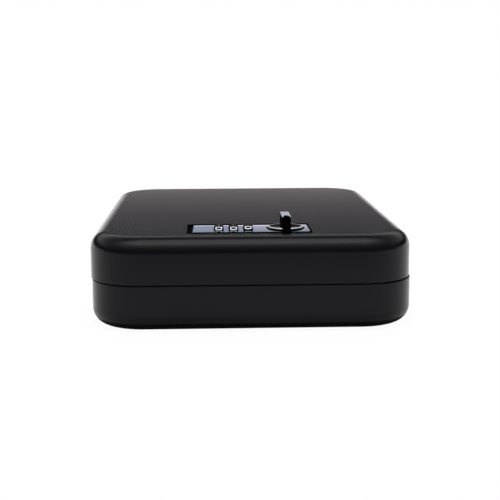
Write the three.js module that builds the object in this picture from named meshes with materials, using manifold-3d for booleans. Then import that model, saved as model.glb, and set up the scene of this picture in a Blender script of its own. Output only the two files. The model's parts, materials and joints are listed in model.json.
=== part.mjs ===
// A portable steel safe in two drawn halves, hinged at the rear, with a three-dial
// combination lock and a turn knob in the lid. Millimetres, +Z up, front towards -Y.
// The origin is under the middle of the base. At rest the safe is closed and unlocked.
import * as THREE from "three";
import { mergeVertices } from "three/addons/utils/BufferGeometryUtils.js";
import Module from "manifold-3d";

const wasm = await Module();
wasm.setup();

// Box
const boxWidth = 180;
const boxDepth = 240;
const boxHeight = 52;
const sheet = 1.2;
const cornerRadius = 30;
const edgeRadius = 9;
const seamBelowMiddle = 0.25;
const seamGap = 0.7;
const lidSidePlay = 0.5;

// Clearances
const seatGap = 0.2;
const runGap = 0.3;
const overrun = 5;
const weldDistance = 0.0001;

// Foam liners
const foamThickness = 4;
const foamInset = 9.4;
const lidFoamBehindLock = 6.9;

// Band inside the rim, and the catch that the cam turns under
const bandInset = 1.4;
const bandStandOff = 2.2;
const bandInner = 3.4;
const bandBelow = 8;
const bandAbove = 5.6;
const bandRearShort = 40;
const catchWidth = 20;
const catchPlate = 2;
const catchLipLength = 8;
const catchRivetRadius = 1.5;
const catchRivetHead = 2.8;
const catchRivetHeadHeight = 1.2;
const catchRivetSpacing = 12;
const catchRivetBelowRim = 4.4;

// Hinges
const hingeCornerMargin = 3;
const hingeLeafWidth = 28;
const hingeLeafThickness = 1.2;
const hingeLeafMargin = 0.75;
const barrelRadius = 2.2;
const pinRadius = 1.2;
const pinHeadRadius = 1.9;
const pinHeadLength = 0.8;
const lidKnuckleLength = 12;

// Cable entry and anchor
const cableSlotWidth = 9;
const cableSlotDepth = 9;
const grommetWall = 1.3;
const grommetFlange = 1.2;
const grommetLip = 0.6;
const anchorFromRear = 25;
const anchorRadius = 3;
const anchorHeadRadius = 5;
const anchorHeadHeight = 2;
const anchorBelowRim = 6.4;

// Lock opening in the lid, and the face plate in it
const openingWidth = 69.8;
const openingDepth = 35.4;
const openingX = -0.9;
const openingFromFront = 15.1;
const openingCorner = 1.5;
const plateWidth = 65.4;
const plateDepth = 28.5;
const plateThickness = 1.2;
const plateProud = 0.2;
const plateShiftX = 1.1;
const plateCorner = 1.6;
const plateBevel = 0.4;

// Lock housing and its cover
const flangeMargin = 4.6;
const flangeThickness = 2;
const housingWall = 1.8;
const housingDepth = 16.6;
const postSize = 5;
const coverThickness = 1.8;
const coverScrewRadius = 1;
const coverScrewHead = 2;
const coverScrewHeadHeight = 1.2;
const coverScrewLength = 8;
const screwSlotWidth = 0.6;
const screwSlotDepth = 0.5;
const studRadius = 1.5;
const studLength = 5;
const nutAcross = 5.5;
const nutHeight = 2.4;

// Number wheels, their gate rings and the shaft
const dialCount = 3;
const dialPitch = 8.25;
const firstDialX = -18.1;
const dialShiftY = -2.3;
const dialRadius = 9;
const dialProud = 2.2;
const dialWidth = 5;
const dialWindowMargin = 0.3;
const dialGrooveDepth = 0.5;
const dialBevel = 0.3;
const figureCount = 10;
const figureTilt = THREE.MathUtils.degToRad(29);
const dialRestTurns = [0, 0, -2.5].map(THREE.MathUtils.degToRad);
const gateRingRadius = 5.2;
const gateRingWidth = 1.8;
const gateWidth = 2.4;
const gateDepth = 1.7;
const shaftRadius = 1.5;
const shaftSupport = 1.8;

// Fence with its spring, and the detent spring under the wheels
const fenceBar = 2.2;
const fenceHeight = 3.8;
const fenceBehindDials = 0.7;
const fenceTooth = 0.8;
const fenceToothBite = 1;
const fenceNoseLength = 1.2;
const springTurns = 6;
const springCoilRadius = 1.5;
const springWire = 0.3;
const springLength = 6;
const detentThickness = 0.3;
const detentRidge = 0.3;

// Knob, spindle and cam
const knobX = 19.7;
const knobRadius = 10.4;
const knobRim = 1.4;
const knobBevel = 0.5;
const knobHeight = 1.6;
const knobDish = 0.7;
const bladeRise = 7.3;
const bladeThickness = 4.8;
const bladeLength = 20.6;
const bladeChamfer = 0.5;
const spindleRadius = 3.8;
const spigotRadius = 1.5;
const spigotLength = 4.4;
const collarRadius = 6;
const collarHeight = 3;
const collarDrop = 4.6;
const washerThickness = 0.8;
const squareSize = 5;
const camThickness = 2;
const camWidth = 9;
const camReach = 26.4;
const camScrewRadius = 1.25;
const camScrewHead = 3.4;
const camScrewHeadHeight = 1.6;
const camScrewLength = 6;

// Lever that frees the wheels while a new code is set
const leverX = -10.7;
const leverY = -7;
const leverTravel = 3;
const leverWidth = 2.4;
const leverHead = 5;
const leverHeadHeight = 0.9;
const leverDrop = 3.4;

// Facets
const roundSides = 32;
const smallSides = 16;
const knobSides = 48;
const arcSteps = 8;
const springSides = 6;
const springStepsPerTurn = 8;
const cornerSteps = 10;
const edgeSteps = 6;

// Places that follow
const seamHeight = boxHeight / 2 - seamBelowMiddle;
const lidHeight = boxHeight - seamHeight - seamGap / 2;
const baseRim = seamHeight - seamGap / 2;
const lidUnderside = boxHeight - sheet;
const hingeY = boxDepth / 2;
const hingeSpacing = boxWidth - 2 * (cornerRadius + hingeCornerMargin) - hingeLeafWidth;
const hingeLeafReach = seamHeight - edgeRadius - hingeLeafMargin;
const openingY = openingFromFront + (openingDepth - boxDepth) / 2;
const lockX = openingX + plateShiftX;
const lockY = openingY;
const plateTop = boxHeight + plateProud;
const plateBottom = plateTop - plateThickness;
const housingTop = plateBottom - seatGap;
const flangeTop = lidUnderside - seatGap;
const flangeBottom = flangeTop - flangeThickness;
const housingBottom = flangeTop - housingDepth;
const cavityTop = flangeBottom;
const coverTop = housingBottom - seatGap;
const coverBottom = coverTop - coverThickness;
const dialZ = plateTop + dialProud - dialRadius;
const dialY = lockY + dialShiftY;
const knobCentreX = lockX + knobX;
const knobUnder = housingTop + runGap;
const bladeTop = knobUnder + knobHeight + bladeRise;
const camTop = coverBottom - seatGap - coverScrewHeadHeight - runGap;
const camBottom = camTop - camThickness;

// A closed three.js geometry as a solid that can be joined and cut
function solidFrom(geometry) {
  const plain = geometry.index ? geometry.toNonIndexed() : geometry.clone();
  plain.deleteAttribute("normal");
  plain.deleteAttribute("uv");
  const merged = mergeVertices(plain, weldDistance);
  const corners = [];
  for (let i = 0; i < merged.index.count; i += 3) {
    const [a, b, c] = [0, 1, 2].map((k) => merged.index.getX(i + k));
    if (a !== b && b !== c && c !== a) corners.push(a, b, c);
  }
  return new wasm.Manifold(
    new wasm.Mesh({
      numProp: 3,
      vertProperties: merged.attributes.position.array,
      triVerts: new Uint32Array(corners),
    }),
  );
}

function geometryFrom(solid) {
  const mesh = solid.getMesh();
  const places = new Float32Array(mesh.numVert * 3);
  for (let i = 0; i < mesh.numVert; i += 1) {
    const start = i * mesh.numProp;
    places.set(mesh.vertProperties.subarray(start, start + 3), i * 3);
  }
  const geometry = new THREE.BufferGeometry();
  geometry.setAttribute("position", new THREE.BufferAttribute(places, 3));
  geometry.setIndex(new THREE.BufferAttribute(mesh.triVerts, 1));
  geometry.computeVertexNormals();
  return geometry;
}

// A block between two opposite corners
function block(x0, x1, y0, y1, z0, z1) {
  const geometry = new THREE.BoxGeometry(x1 - x0, y1 - y0, z1 - z0);
  geometry.translate((x0 + x1) / 2, (y0 + y1) / 2, (z0 + z1) / 2);
  return solidFrom(geometry);
}

// Round rods along each axis, between two ends
function rodX(radius, x0, x1, y, z, sides = smallSides) {
  const geometry = new THREE.CylinderGeometry(radius, radius, x1 - x0, sides);
  geometry.rotateZ(Math.PI / 2);
  geometry.translate((x0 + x1) / 2, y, z);
  return solidFrom(geometry);
}

function rodY(radius, y0, y1, x, z, sides = smallSides) {
  const geometry = new THREE.CylinderGeometry(radius, radius, y1 - y0, sides);
  geometry.translate(x, (y0 + y1) / 2, z);
  return solidFrom(geometry);
}

function rodZ(radius, z0, z1, x, y, sides = smallSides) {
  const geometry = new THREE.CylinderGeometry(radius, radius, z1 - z0, sides);
  geometry.rotateX(Math.PI / 2);
  geometry.translate(x, y, (z0 + z1) / 2);
  return solidFrom(geometry);
}

// An outline in X and Y raised from z0 to z1, with an optional bevel on both faces
function raise(shape, z0, z1, bevel = 0, curveSegments = 4) {
  const geometry = new THREE.ExtrudeGeometry(shape, {
    depth: z1 - z0 - 2 * bevel,
    bevelEnabled: bevel > 0,
    bevelSize: bevel,
    bevelThickness: bevel,
    bevelOffset: -bevel,
    bevelSegments: 1,
    curveSegments,
  });
  geometry.translate(0, 0, z0 + bevel);
  return solidFrom(geometry);
}

// An outline given as [y, z] points, carried along X from x0 to x1
function carryX(points, x0, x1) {
  const shape = new THREE.Shape(points.map(([y, z]) => new THREE.Vector2(y, z)));
  const geometry = new THREE.ExtrudeGeometry(shape, { depth: x1 - x0, bevelEnabled: false });
  geometry.rotateX(Math.PI / 2);
  geometry.rotateZ(Math.PI / 2);
  geometry.translate(x0, 0, 0);
  return solidFrom(geometry);
}

// A profile of [radius, z] points turned about the vertical line through x, y
function turn(points, x, y, sides = roundSides) {
  const profile = points.map(([r, z]) => new THREE.Vector2(r, z));
  const geometry = new THREE.LatheGeometry(profile, sides);
  geometry.rotateX(Math.PI / 2);
  geometry.translate(x, y, 0);
  return solidFrom(geometry);
}

function roundedRect(width, depth, radius, x = 0, y = 0) {
  const [w, d] = [width / 2, depth / 2];
  const shape = new THREE.Shape();
  shape.moveTo(x - w + radius, y - d);
  shape.lineTo(x + w - radius, y - d);
  shape.absarc(x + w - radius, y - d + radius, radius, -Math.PI / 2, 0);
  shape.lineTo(x + w, y + d - radius);
  shape.absarc(x + w - radius, y + d - radius, radius, 0, Math.PI / 2);
  shape.lineTo(x - w + radius, y + d);
  shape.absarc(x - w + radius, y + d - radius, radius, Math.PI / 2, Math.PI);
  shape.lineTo(x - w, y - d + radius);
  shape.absarc(x - w + radius, y - d + radius, radius, Math.PI, Math.PI * 1.5);
  return shape;
}

// One level of the box's outline, drawn in by an inset, counter-clockwise from above
function boxRing(inset, z) {
  const radius = cornerRadius - inset;
  const [x, y] = [boxWidth / 2 - cornerRadius, boxDepth / 2 - cornerRadius];
  const centres = [[x, -y], [x, y], [-x, y], [-x, -y]];
  return centres.flatMap(([cx, cy], corner) =>
    Array.from({ length: cornerSteps + 1 }, (_, i) => {
      const angle = ((corner - 1 + i / cornerSteps) * Math.PI) / 2;
      return [cx + radius * Math.cos(angle), cy + radius * Math.sin(angle), z];
    }),
  );
}

// A skin through rings of equal length, closed by a flat face at each end
function loft(rings) {
  const count = rings[0].length;
  const middle = (ring) => [0, 0, ring[0][2]];
  const places = [...rings.flat(), middle(rings[0]), middle(rings.at(-1))];
  const [first, last] = [rings.length * count, rings.length * count + 1];
  const faces = [];
  for (let i = 0; i < count; i += 1) {
    const next = (i + 1) % count;
    for (let r = 0; r < rings.length - 1; r += 1) {
      const [low, high] = [r * count, (r + 1) * count];
      faces.push(low + i, low + next, high + next, low + i, high + next, high + i);
    }
    const top = (rings.length - 1) * count;
    faces.push(first, next, i, last, top + i, top + next);
  }
  const geometry = new THREE.BufferGeometry();
  geometry.setAttribute("position", new THREE.Float32BufferAttribute(places.flat(), 3));
  geometry.setIndex(faces);
  return solidFrom(geometry);
}

// A drawn pan, open upwards: outer skin from the floor to the rim, then the inner skin back
function pan(height) {
  const fillet = (radius, inset, floor) =>
    Array.from({ length: edgeSteps + 1 }, (_, i) => {
      const angle = (i / edgeSteps) * (Math.PI / 2);
      const [across, up] = [1 - Math.sin(angle), 1 - Math.cos(angle)];
      return boxRing(inset + radius * across, floor + radius * up);
    });
  const outer = fillet(edgeRadius, 0, 0);
  const inner = fillet(edgeRadius - sheet, sheet, sheet);
  return loft([...outer, boxRing(0, height), boxRing(sheet, height), ...inner.reverse()]);
}

// Materials
const paint = (color, roughness, metalness) =>
  new THREE.MeshStandardMaterial({ color, roughness, metalness });
const blackSteel = paint(0x1c1c1f, 0.5, 0.2);
const brightPlate = paint(0x8f99b3, 0.2, 0.9);
const blackGloss = paint(0x0a0a0b, 0.15, 0.4);
const blackZinc = paint(0x202022, 0.6, 0.5);
const zincSteel = paint(0xa9adb2, 0.35, 0.9);
const springSteel = paint(0x8b8d90, 0.3, 0.95);
const brass = paint(0xb79a55, 0.35, 0.9);
const foam = paint(0x262628, 0.95, 0);
const rubber = paint(0x161617, 0.8, 0);

const safe = new THREE.Group();
safe.name = "car_safe";
const lid = new THREE.Group();
lid.position.x = -lidSidePlay;
safe.add(lid);

function place(group, name, solid, material) {
  const mesh = new THREE.Mesh(geometryFrom(solid), material);
  mesh.name = name;
  group.add(mesh);
  return mesh;
}

// Hinges
const hingePlaces = { left: -hingeSpacing / 2, right: hingeSpacing / 2 };
const barrelClear = barrelRadius + runGap;
const leafBack = hingeY - sheet - seatGap;
const leafFront = leafBack - hingeLeafThickness;
const lidKnuckleHalf = lidKnuckleLength / 2;
const knuckleClear = lidSidePlay + runGap;
const leafHalf = hingeLeafWidth / 2;

// A leaf stands inside the rear wall, and its tongues pass the wall to its knuckles
function hingeLeaf(x, up, knuckles) {
  const plateEnd = seamHeight + up * hingeLeafReach;
  const plateStart = seamHeight + up * (barrelRadius + 2 * runGap);
  const tongueStart = seamHeight + up * runGap;
  const tongueEnd = tongueStart + up * hingeLeafThickness;
  const span = (a, b) => [Math.min(a, b), Math.max(a, b)];
  let leaf = block(x - leafHalf, x + leafHalf, leafFront, leafBack, ...span(plateStart, plateEnd));
  for (const [x0, x1] of knuckles) {
    leaf = leaf
      .add(block(x + x0, x + x1, leafFront, leafBack, ...span(tongueStart, plateEnd)))
      .add(block(x + x0, x + x1, leafFront, hingeY, ...span(tongueStart, tongueEnd)))
      .add(rodX(barrelRadius, x + x0, x + x1, hingeY, seamHeight, smallSides));
  }
  const bore = pinRadius + seatGap;
  return leaf.subtract(
    rodX(bore, x - leafHalf - overrun, x + leafHalf + overrun, hingeY, seamHeight, smallSides),
  );
}

function hingePin(x) {
  const end = leafHalf + seatGap;
  const headed = [-1, 1].map((side) => {
    const [a, b] = [x + side * end, x + side * (end + pinHeadLength)];
    return rodX(pinHeadRadius, Math.min(a, b), Math.max(a, b), hingeY, seamHeight, smallSides);
  });
  const shank = end + pinHeadLength / 2;
  return rodX(pinRadius, x - shank, x + shank, hingeY, seamHeight, smallSides)
    .add(headed[0])
    .add(headed[1]);
}

function barrelNotch(x) {
  const half = leafHalf + pinHeadLength + knuckleClear;
  const [low, high] = [seamHeight - barrelClear, seamHeight + barrelClear];
  return block(x - half, x + half, hingeY - sheet - overrun / 2, hingeY + overrun, low, high);
}

// Base half
function slotShape(width, depth, top) {
  const radius = width / 2;
  const shape = new THREE.Shape();
  shape.moveTo(radius, top);
  shape.lineTo(-radius, top);
  shape.lineTo(-radius, baseRim - depth + radius);
  shape.absarc(0, baseRim - depth + radius, radius, Math.PI, 2 * Math.PI);
  shape.lineTo(radius, top);
  return shape;
}

// A slot outline in X and Z carried along Y
function carrySlot(width, depth, top, y0, y1) {
  const geometry = new THREE.ExtrudeGeometry(slotShape(width, depth, top), {
    depth: y1 - y0,
    bevelEnabled: false,
    curveSegments: smallSides / 2,
  });
  geometry.rotateX(Math.PI / 2);
  geometry.translate(0, y1, 0);
  return solidFrom(geometry);
}

function baseShell() {
  const wall = [hingeY - sheet - overrun / 2, hingeY + overrun];
  let shell = pan(baseRim);
  for (const x of Object.values(hingePlaces)) shell = shell.subtract(barrelNotch(x));
  return shell.subtract(
    carrySlot(cableSlotWidth, cableSlotDepth, baseRim + overrun, ...wall),
  );
}

function cableGrommet() {
  const width = cableSlotWidth - 2 * seatGap;
  const depth = cableSlotDepth - seatGap;
  const flangeWidth = cableSlotWidth + 2 * grommetFlange;
  const flangeDepth = cableSlotDepth + grommetFlange;
  const top = baseRim - grommetLip;
  const wall = [hingeY - sheet - seatGap, hingeY + seatGap];
  const bore = width - 2 * grommetWall;
  const boreSpan = [hingeY - sheet - overrun, hingeY + overrun];
  const ends = [wall[0] - grommetLip, wall[1] + grommetLip];
  return carrySlot(width, depth, top, ...ends)
    .add(carrySlot(flangeWidth, flangeDepth, top, wall[1], ends[1]))
    .add(carrySlot(flangeWidth, flangeDepth, top, ends[0], wall[0]))
    .subtract(carrySlot(bore, depth - grommetWall, baseRim + overrun, ...boreSpan));
}

const floor = sheet + seatGap;
const anchorY = hingeY - anchorFromRear;
const anchorHeight = baseRim - anchorBelowRim;

function cableAnchor() {
  const neck = anchorHeight - anchorHeadHeight;
  return turn(
    [[0, floor], [anchorRadius, floor], [anchorRadius, neck], [anchorHeadRadius, neck],
      [anchorHeadRadius, anchorHeight], [0, anchorHeight]],
    0, anchorY, smallSides,
  );
}

function baseFoam() {
  const width = boxWidth - 2 * foamInset;
  const outline = roundedRect(width, boxDepth - 2 * foamInset, cornerRadius - foamInset);
  const hole = rodZ(anchorRadius + runGap, 0, foamThickness + overrun, 0, anchorY);
  return raise(outline, floor, floor + foamThickness, 0, arcSteps).subtract(hole);
}

function lidFoam() {
  const rear = boxDepth / 2 - foamInset;
  const depth = rear - (openingY + openingDepth / 2 + flangeMargin + lidFoamBehindLock);
  const width = boxWidth - 2 * foamInset;
  const outline = roundedRect(width, depth, cornerRadius - foamInset, 0, rear - depth / 2);
  return raise(outline, flangeTop - foamThickness, flangeTop, 0, arcSteps);
}

// The band follows the walls inside, stands off above the rim, and ends short of the hinges
function rimBand() {
  const [low, high] = [baseRim - bandBelow, baseRim + bandAbove];
  const step = baseRim - seatGap;
  const outside = loft([
    boxRing(bandInset, low), boxRing(bandInset, step),
    boxRing(bandStandOff, step), boxRing(bandStandOff, high),
  ]);
  const inside = loft([boxRing(bandInner, low - overrun), boxRing(bandInner, high + overrun)]);
  const [w, d] = [boxWidth / 2 + overrun, boxDepth / 2 + overrun];
  const rear = block(-w, w, hingeY - bandRearShort, d, low - overrun, high + overrun);
  return outside.subtract(inside).subtract(rear);
}

const bandFront = -boxDepth / 2 + bandInner;
const catchFront = bandFront + seatGap;
const catchBack = catchFront + catchPlate;
const lipUnder = camTop + runGap + seatGap;
const catchX = knobCentreX - lidSidePlay;
const catchRivetHeight = baseRim - catchRivetBelowRim;
const rivetPlaces = [-1, 1].map((side) => catchX + (side * catchRivetSpacing) / 2);

function catchBracket() {
  const top = lipUnder + catchPlate;
  const lipEnd = catchFront + catchLipLength;
  const profile = [
    [catchFront, baseRim - bandBelow + seatGap], [catchBack, baseRim - bandBelow + seatGap],
    [catchBack, lipUnder], [lipEnd, lipUnder], [lipEnd, top], [catchFront, top],
  ];
  return carryX(profile, catchX - catchWidth / 2, catchX + catchWidth / 2);
}

function rivetHole(x) {
  const radius = catchRivetRadius + seatGap;
  const span = [catchFront - overrun, catchBack + overrun];
  return rodY(radius, ...span, x, catchRivetHeight);
}

function catchRivet(x) {
  const back = -boxDepth / 2 + bandInset + seatGap;
  const head = catchBack + seatGap;
  const shankEnd = head + catchRivetHeadHeight / 2;
  return rodY(catchRivetRadius, back, shankEnd, x, catchRivetHeight).add(
    rodY(catchRivetHead, head, head + catchRivetHeadHeight, x, catchRivetHeight),
  );
}

let band = rimBand();
let keeper = catchBracket();
for (const x of rivetPlaces) {
  band = band.subtract(rivetHole(x));
  keeper = keeper.subtract(rivetHole(x));
}

place(safe, "base_shell", baseShell(), blackSteel);
place(safe, "base_rim_band", band, blackSteel);
place(safe, "base_foam_liner", baseFoam(), foam);
place(safe, "catch_bracket", keeper, zincSteel);
rivetPlaces.forEach((x, i) => place(safe, `catch_rivet_${i + 1}`, catchRivet(x), zincSteel));
place(safe, "cable_grommet", cableGrommet(), rubber);
place(safe, "cable_anchor_post", cableAnchor(), zincSteel);
for (const [side, x] of Object.entries(hingePlaces)) {
  const inner = lidKnuckleHalf + knuckleClear;
  const knuckles = [[-leafHalf, -inner], [inner, leafHalf]];
  place(safe, `hinge_base_leaf_${side}`, hingeLeaf(x, -1, knuckles), blackSteel);
  place(safe, `hinge_pin_${side}`, hingePin(x), zincSteel);
  const lidKnuckle = [[-lidKnuckleHalf, lidKnuckleHalf]];
  place(lid, `hinge_lid_leaf_${side}`, hingeLeaf(x, 1, lidKnuckle), blackSteel);
}

// Lid shell, with the lock opening and four welded studs
const flangeHalfWidth = openingWidth / 2 + flangeMargin;
const flangeHalfDepth = openingDepth / 2 + flangeMargin;
const studPlaces = [-1, 1].flatMap((i) =>
  [-1, 1].map((j) => [
    openingX + i * (openingWidth / 2 + flangeMargin / 2),
    openingY + j * (openingDepth / 2 - flangeMargin),
  ]),
);

function lidShell() {
  const turned = pan(lidHeight).rotate([180, 0, 0]).translate([0, 0, boxHeight]);
  const opening = roundedRect(openingWidth, openingDepth, openingCorner, openingX, openingY);
  let shell = turned.subtract(raise(opening, lidUnderside - overrun, boxHeight + overrun));
  for (const x of Object.values(hingePlaces)) shell = shell.subtract(barrelNotch(x));
  for (const [x, y] of studPlaces) {
    const stud = rodZ(studRadius, lidUnderside - studLength, lidUnderside + sheet / 2, x, y);
    shell = shell.add(stud);
  }
  return shell;
}

function lockNut([x, y]) {
  const top = flangeBottom - seatGap;
  const radius = nutAcross / Math.sqrt(3);
  const bore = rodZ(studRadius + seatGap, top - nutHeight - overrun, top + overrun, x, y);
  return rodZ(radius, top - nutHeight, top, x, y, 6).subtract(bore);
}

place(lid, "lid_shell", lidShell(), blackSteel);
place(lid, "lid_foam_liner", lidFoam(), foam);
studPlaces.forEach((spot, i) => place(lid, `lock_nut_${i + 1}`, lockNut(spot), zincSteel));

// Lock housing: a flange under the lid, and a box open downwards
const [bodyLeft, bodyRight] = [lockX - plateWidth / 2, lockX + plateWidth / 2];
const [bodyFront, bodyRear] = [lockY - plateDepth / 2, lockY + plateDepth / 2];
const [roomLeft, roomRight] = [bodyLeft + housingWall, bodyRight - housingWall];
const [roomFront, roomRear] = [bodyFront + housingWall, bodyRear - housingWall];
const dialPlaces = Array.from({ length: dialCount }, (_, i) => lockX + firstDialX + i * dialPitch);
const windowHalf = dialWidth / 2 + dialWindowMargin;
const halfChord = (z) => Math.sqrt(dialRadius ** 2 - (z - dialZ) ** 2) + dialWindowMargin;
const ringEnd = dialWidth / 2 + seatGap + gateRingWidth;
const shaftLeft = dialPlaces[0] - dialWidth / 2 - runGap - shaftSupport;
const shaftRight = dialPlaces.at(-1) + ringEnd + runGap + fenceTooth + runGap + shaftSupport;
const fenceFront = dialY + dialRadius + fenceBehindDials;
const fenceBack = fenceFront + fenceBar;
const coverSpots = [roomLeft + postSize / 2, roomRight - postSize / 2].flatMap((x) =>
  [roomFront + postSize / 2, roomRear - postSize / 2].map((y) => [x, y]),
);

// The wheels and rings rise through one bay in the housing, under the plate's windows
function dialBay() {
  const [x0, x1] = [dialPlaces[0] - windowHalf, dialPlaces.at(-1) + ringEnd + runGap];
  const half = halfChord(cavityTop);
  return block(x0, x1, dialY - half, dialY + half, cavityTop - overrun / 2, housingTop + overrun);
}

function lockHousing() {
  const [fx, fy] = [flangeHalfWidth, flangeHalfDepth];
  let body = block(
    openingX - fx, openingX + fx, openingY - fy, openingY + fy, flangeBottom, flangeTop,
  ).add(block(bodyLeft, bodyRight, bodyFront, bodyRear, housingBottom, housingTop));
  const low = housingBottom - overrun;
  body = body.subtract(block(roomLeft, roomRight, roomFront, roomRear, low, cavityTop));
  const behind = dialY + dialRadius - fenceBehindDials;
  for (const x of [shaftLeft, shaftRight - shaftSupport]) {
    const wall = [roomFront - housingWall / 2, behind];
    body = body.add(block(x, x + shaftSupport, ...wall, housingBottom, cavityTop + seatGap));
  }
  for (const [x, y] of coverSpots) {
    const half = postSize / 2 + seatGap;
    body = body.add(
      block(x - half, x + half, y - half, y + half, housingBottom, cavityTop + seatGap),
    );
    const hole = rodZ(coverScrewRadius + seatGap, low, housingBottom + coverScrewLength, x, y);
    body = body.subtract(hole);
  }
  for (const [x, y] of studPlaces) {
    body = body.subtract(rodZ(studRadius + runGap, low, flangeTop + overrun, x, y));
  }
  const bores = [
    rodX(shaftRadius + seatGap, shaftLeft - overrun / 2, shaftRight + seatGap, dialY, dialZ),
    rodZ(spindleRadius + runGap, low, housingTop + overrun, knobCentreX, lockY, roundSides),
  ];
  return body.subtract(dialBay()).subtract(bores[0]).subtract(bores[1]);
}

function facePlate() {
  const outline = roundedRect(plateWidth, plateDepth, plateCorner, lockX, lockY);
  const rod = [plateBottom - overrun, plateTop + overrun];
  let plate = raise(outline, plateBottom, plateTop, plateBevel);
  const half = halfChord(plateBottom);
  for (const x of dialPlaces) {
    plate = plate.subtract(
      block(x - windowHalf, x + windowHalf, dialY - half, dialY + half, ...rod),
    );
  }
  return plate.subtract(rodZ(knobRadius + runGap, ...rod, knobCentreX, lockY, knobSides));
}

const leverCentre = [knobCentreX + leverX, lockY + leverY];

function backCover() {
  let cover = block(bodyLeft, bodyRight, bodyFront, bodyRear, coverBottom, coverTop);
  const span = [coverBottom - overrun, coverTop + overrun];
  for (const [x, y] of coverSpots) {
    cover = cover.subtract(rodZ(coverScrewRadius + seatGap, ...span, x, y));
  }
  const [x, y] = leverCentre;
  const half = leverWidth / 2 + runGap;
  return cover
    .subtract(block(x - half, x + half + leverTravel, y - half, y + half, ...span))
    .subtract(rodZ(spindleRadius + runGap, ...span, knobCentreX, lockY, roundSides));
}

// A pan-head screw driven upwards, slotted across its head
function coverScrew([x, y]) {
  const seat = coverBottom - seatGap;
  const foot = seat - coverScrewHeadHeight;
  const slot = block(
    x - coverScrewHead - seatGap, x + coverScrewHead + seatGap,
    y - screwSlotWidth / 2, y + screwSlotWidth / 2, foot - seatGap, foot + screwSlotDepth,
  );
  const shankStart = seat - coverScrewHeadHeight / 4;
  return rodZ(coverScrewHead, foot, seat, x, y)
    .add(rodZ(coverScrewRadius, shankStart, housingBottom + coverScrewLength - runGap, x, y))
    .subtract(slot);
}

place(lid, "lock_housing", lockHousing(), blackZinc);
place(lid, "lock_face_plate", facePlate(), brightPlate);
place(lid, "lock_back_cover", backCover(), blackZinc);
coverSpots.forEach((spot, i) => place(lid, `cover_screw_${i + 1}`, coverScrew(spot), zincSteel));
place(
  lid,
  "dial_shaft",
  rodX(shaftRadius, shaftLeft + seatGap, shaftRight, dialY, dialZ),
  zincSteel,
);

// A wheel's rim has one shallow flat-topped land for each figure, with a groove between
function dialOutline() {
  const landShares = [-0.8, -0.4, 0, 0.4, 0.8];
  const step = (2 * Math.PI) / figureCount;
  const points = Array.from({ length: figureCount }, (_, i) => i * step).flatMap((angle) => [
    ...landShares.map((share) => [dialRadius, angle + (share * step) / 2]),
    [dialRadius - dialGrooveDepth, angle + step / 2],
  ]);
  return new THREE.Shape(
    points.map(([r, a]) => new THREE.Vector2(r * Math.cos(a), r * Math.sin(a))),
  );
}

// Each wheel and ring is made about the shaft line, then turned to the figure that shows
function aboutShaft(solid, x, angle) {
  return solid
    .rotate([0, 90, 0])
    .rotate([THREE.MathUtils.radToDeg(angle), 0, 0])
    .translate([x, dialY, dialZ]);
}

function numberWheel(i) {
  const half = dialWidth / 2;
  const wheel = raise(dialOutline(), -half, half, dialBevel).subtract(
    rodZ(shaftRadius + seatGap, -half - overrun, half + overrun, 0, 0),
  );
  return aboutShaft(wheel.rotate([0, 0, 180]), dialPlaces[i], figureTilt + dialRestTurns[i]);
}

function gateRing(i) {
  const half = gateRingWidth / 2;
  const gate = block(
    gateRingRadius - gateDepth, gateRingRadius + overrun,
    -gateWidth / 2, gateWidth / 2, -half - overrun, half + overrun,
  );
  const ring = rodZ(gateRingRadius, -half, half, 0, 0, roundSides)
    .subtract(rodZ(shaftRadius + seatGap, -half - overrun, half + overrun, 0, 0))
    .subtract(gate);
  const x = dialPlaces[i] + dialWidth / 2 + seatGap + half;
  return aboutShaft(ring, x, Math.PI / 2 + dialRestTurns[i]);
}

for (let i = 0; i < dialCount; i += 1) {
  place(lid, `number_wheel_${i + 1}`, numberWheel(i), blackGloss);
  place(lid, `gate_ring_${i + 1}`, gateRing(i), brass);
}

// Fence: a comb behind the wheels, parked between the gate rings and the spindle's collar
const collarTop = cavityTop - collarDrop;
const fenceZ = collarTop - collarHeight / 2;
const noseEnd = knobCentreX - collarRadius - runGap;
const armRight = noseEnd - fenceNoseLength;
const armLeft = armRight - fenceBar;
const springLeft = roomLeft + postSize + runGap;
const barLeft = springLeft + springLength;

function fence() {
  const [low, high] = [fenceZ - fenceHeight / 2, fenceZ + fenceHeight / 2];
  const armEnd = lockY - fenceBar / 2;
  let comb = block(barLeft, armRight, fenceFront, fenceBack, low, high)
    .add(block(armLeft, armRight, armEnd, fenceBack, low, high))
    .add(block(armLeft, noseEnd, armEnd, lockY + fenceBar / 2, low, high));
  const toothEnd = dialY + gateRingRadius - fenceToothBite;
  for (const dial of dialPlaces) {
    const x = dial + ringEnd + runGap;
    comb = comb.add(block(x, x + fenceTooth, toothEnd, fenceFront + seatGap, low, high));
  }
  return comb;
}

class CoilLine extends THREE.Curve {
  getPoint(t, target = new THREE.Vector3()) {
    const angle = 2 * Math.PI * springTurns * t;
    const run = springLength - 2 * springWire - 2 * seatGap;
    return target.set(
      springWire + seatGap + run * t,
      springCoilRadius * Math.cos(angle),
      springCoilRadius * Math.sin(angle),
    );
  }
}

function fenceSpring() {
  const section = new THREE.Shape();
  section.absarc(0, 0, springWire, 0, 2 * Math.PI);
  const geometry = new THREE.ExtrudeGeometry(section, {
    extrudePath: new CoilLine(),
    steps: springTurns * springStepsPerTurn,
    curveSegments: springSides / 2,
    bevelEnabled: false,
  });
  geometry.translate(springLeft, (fenceFront + fenceBack) / 2, fenceZ);
  return solidFrom(geometry);
}

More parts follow.
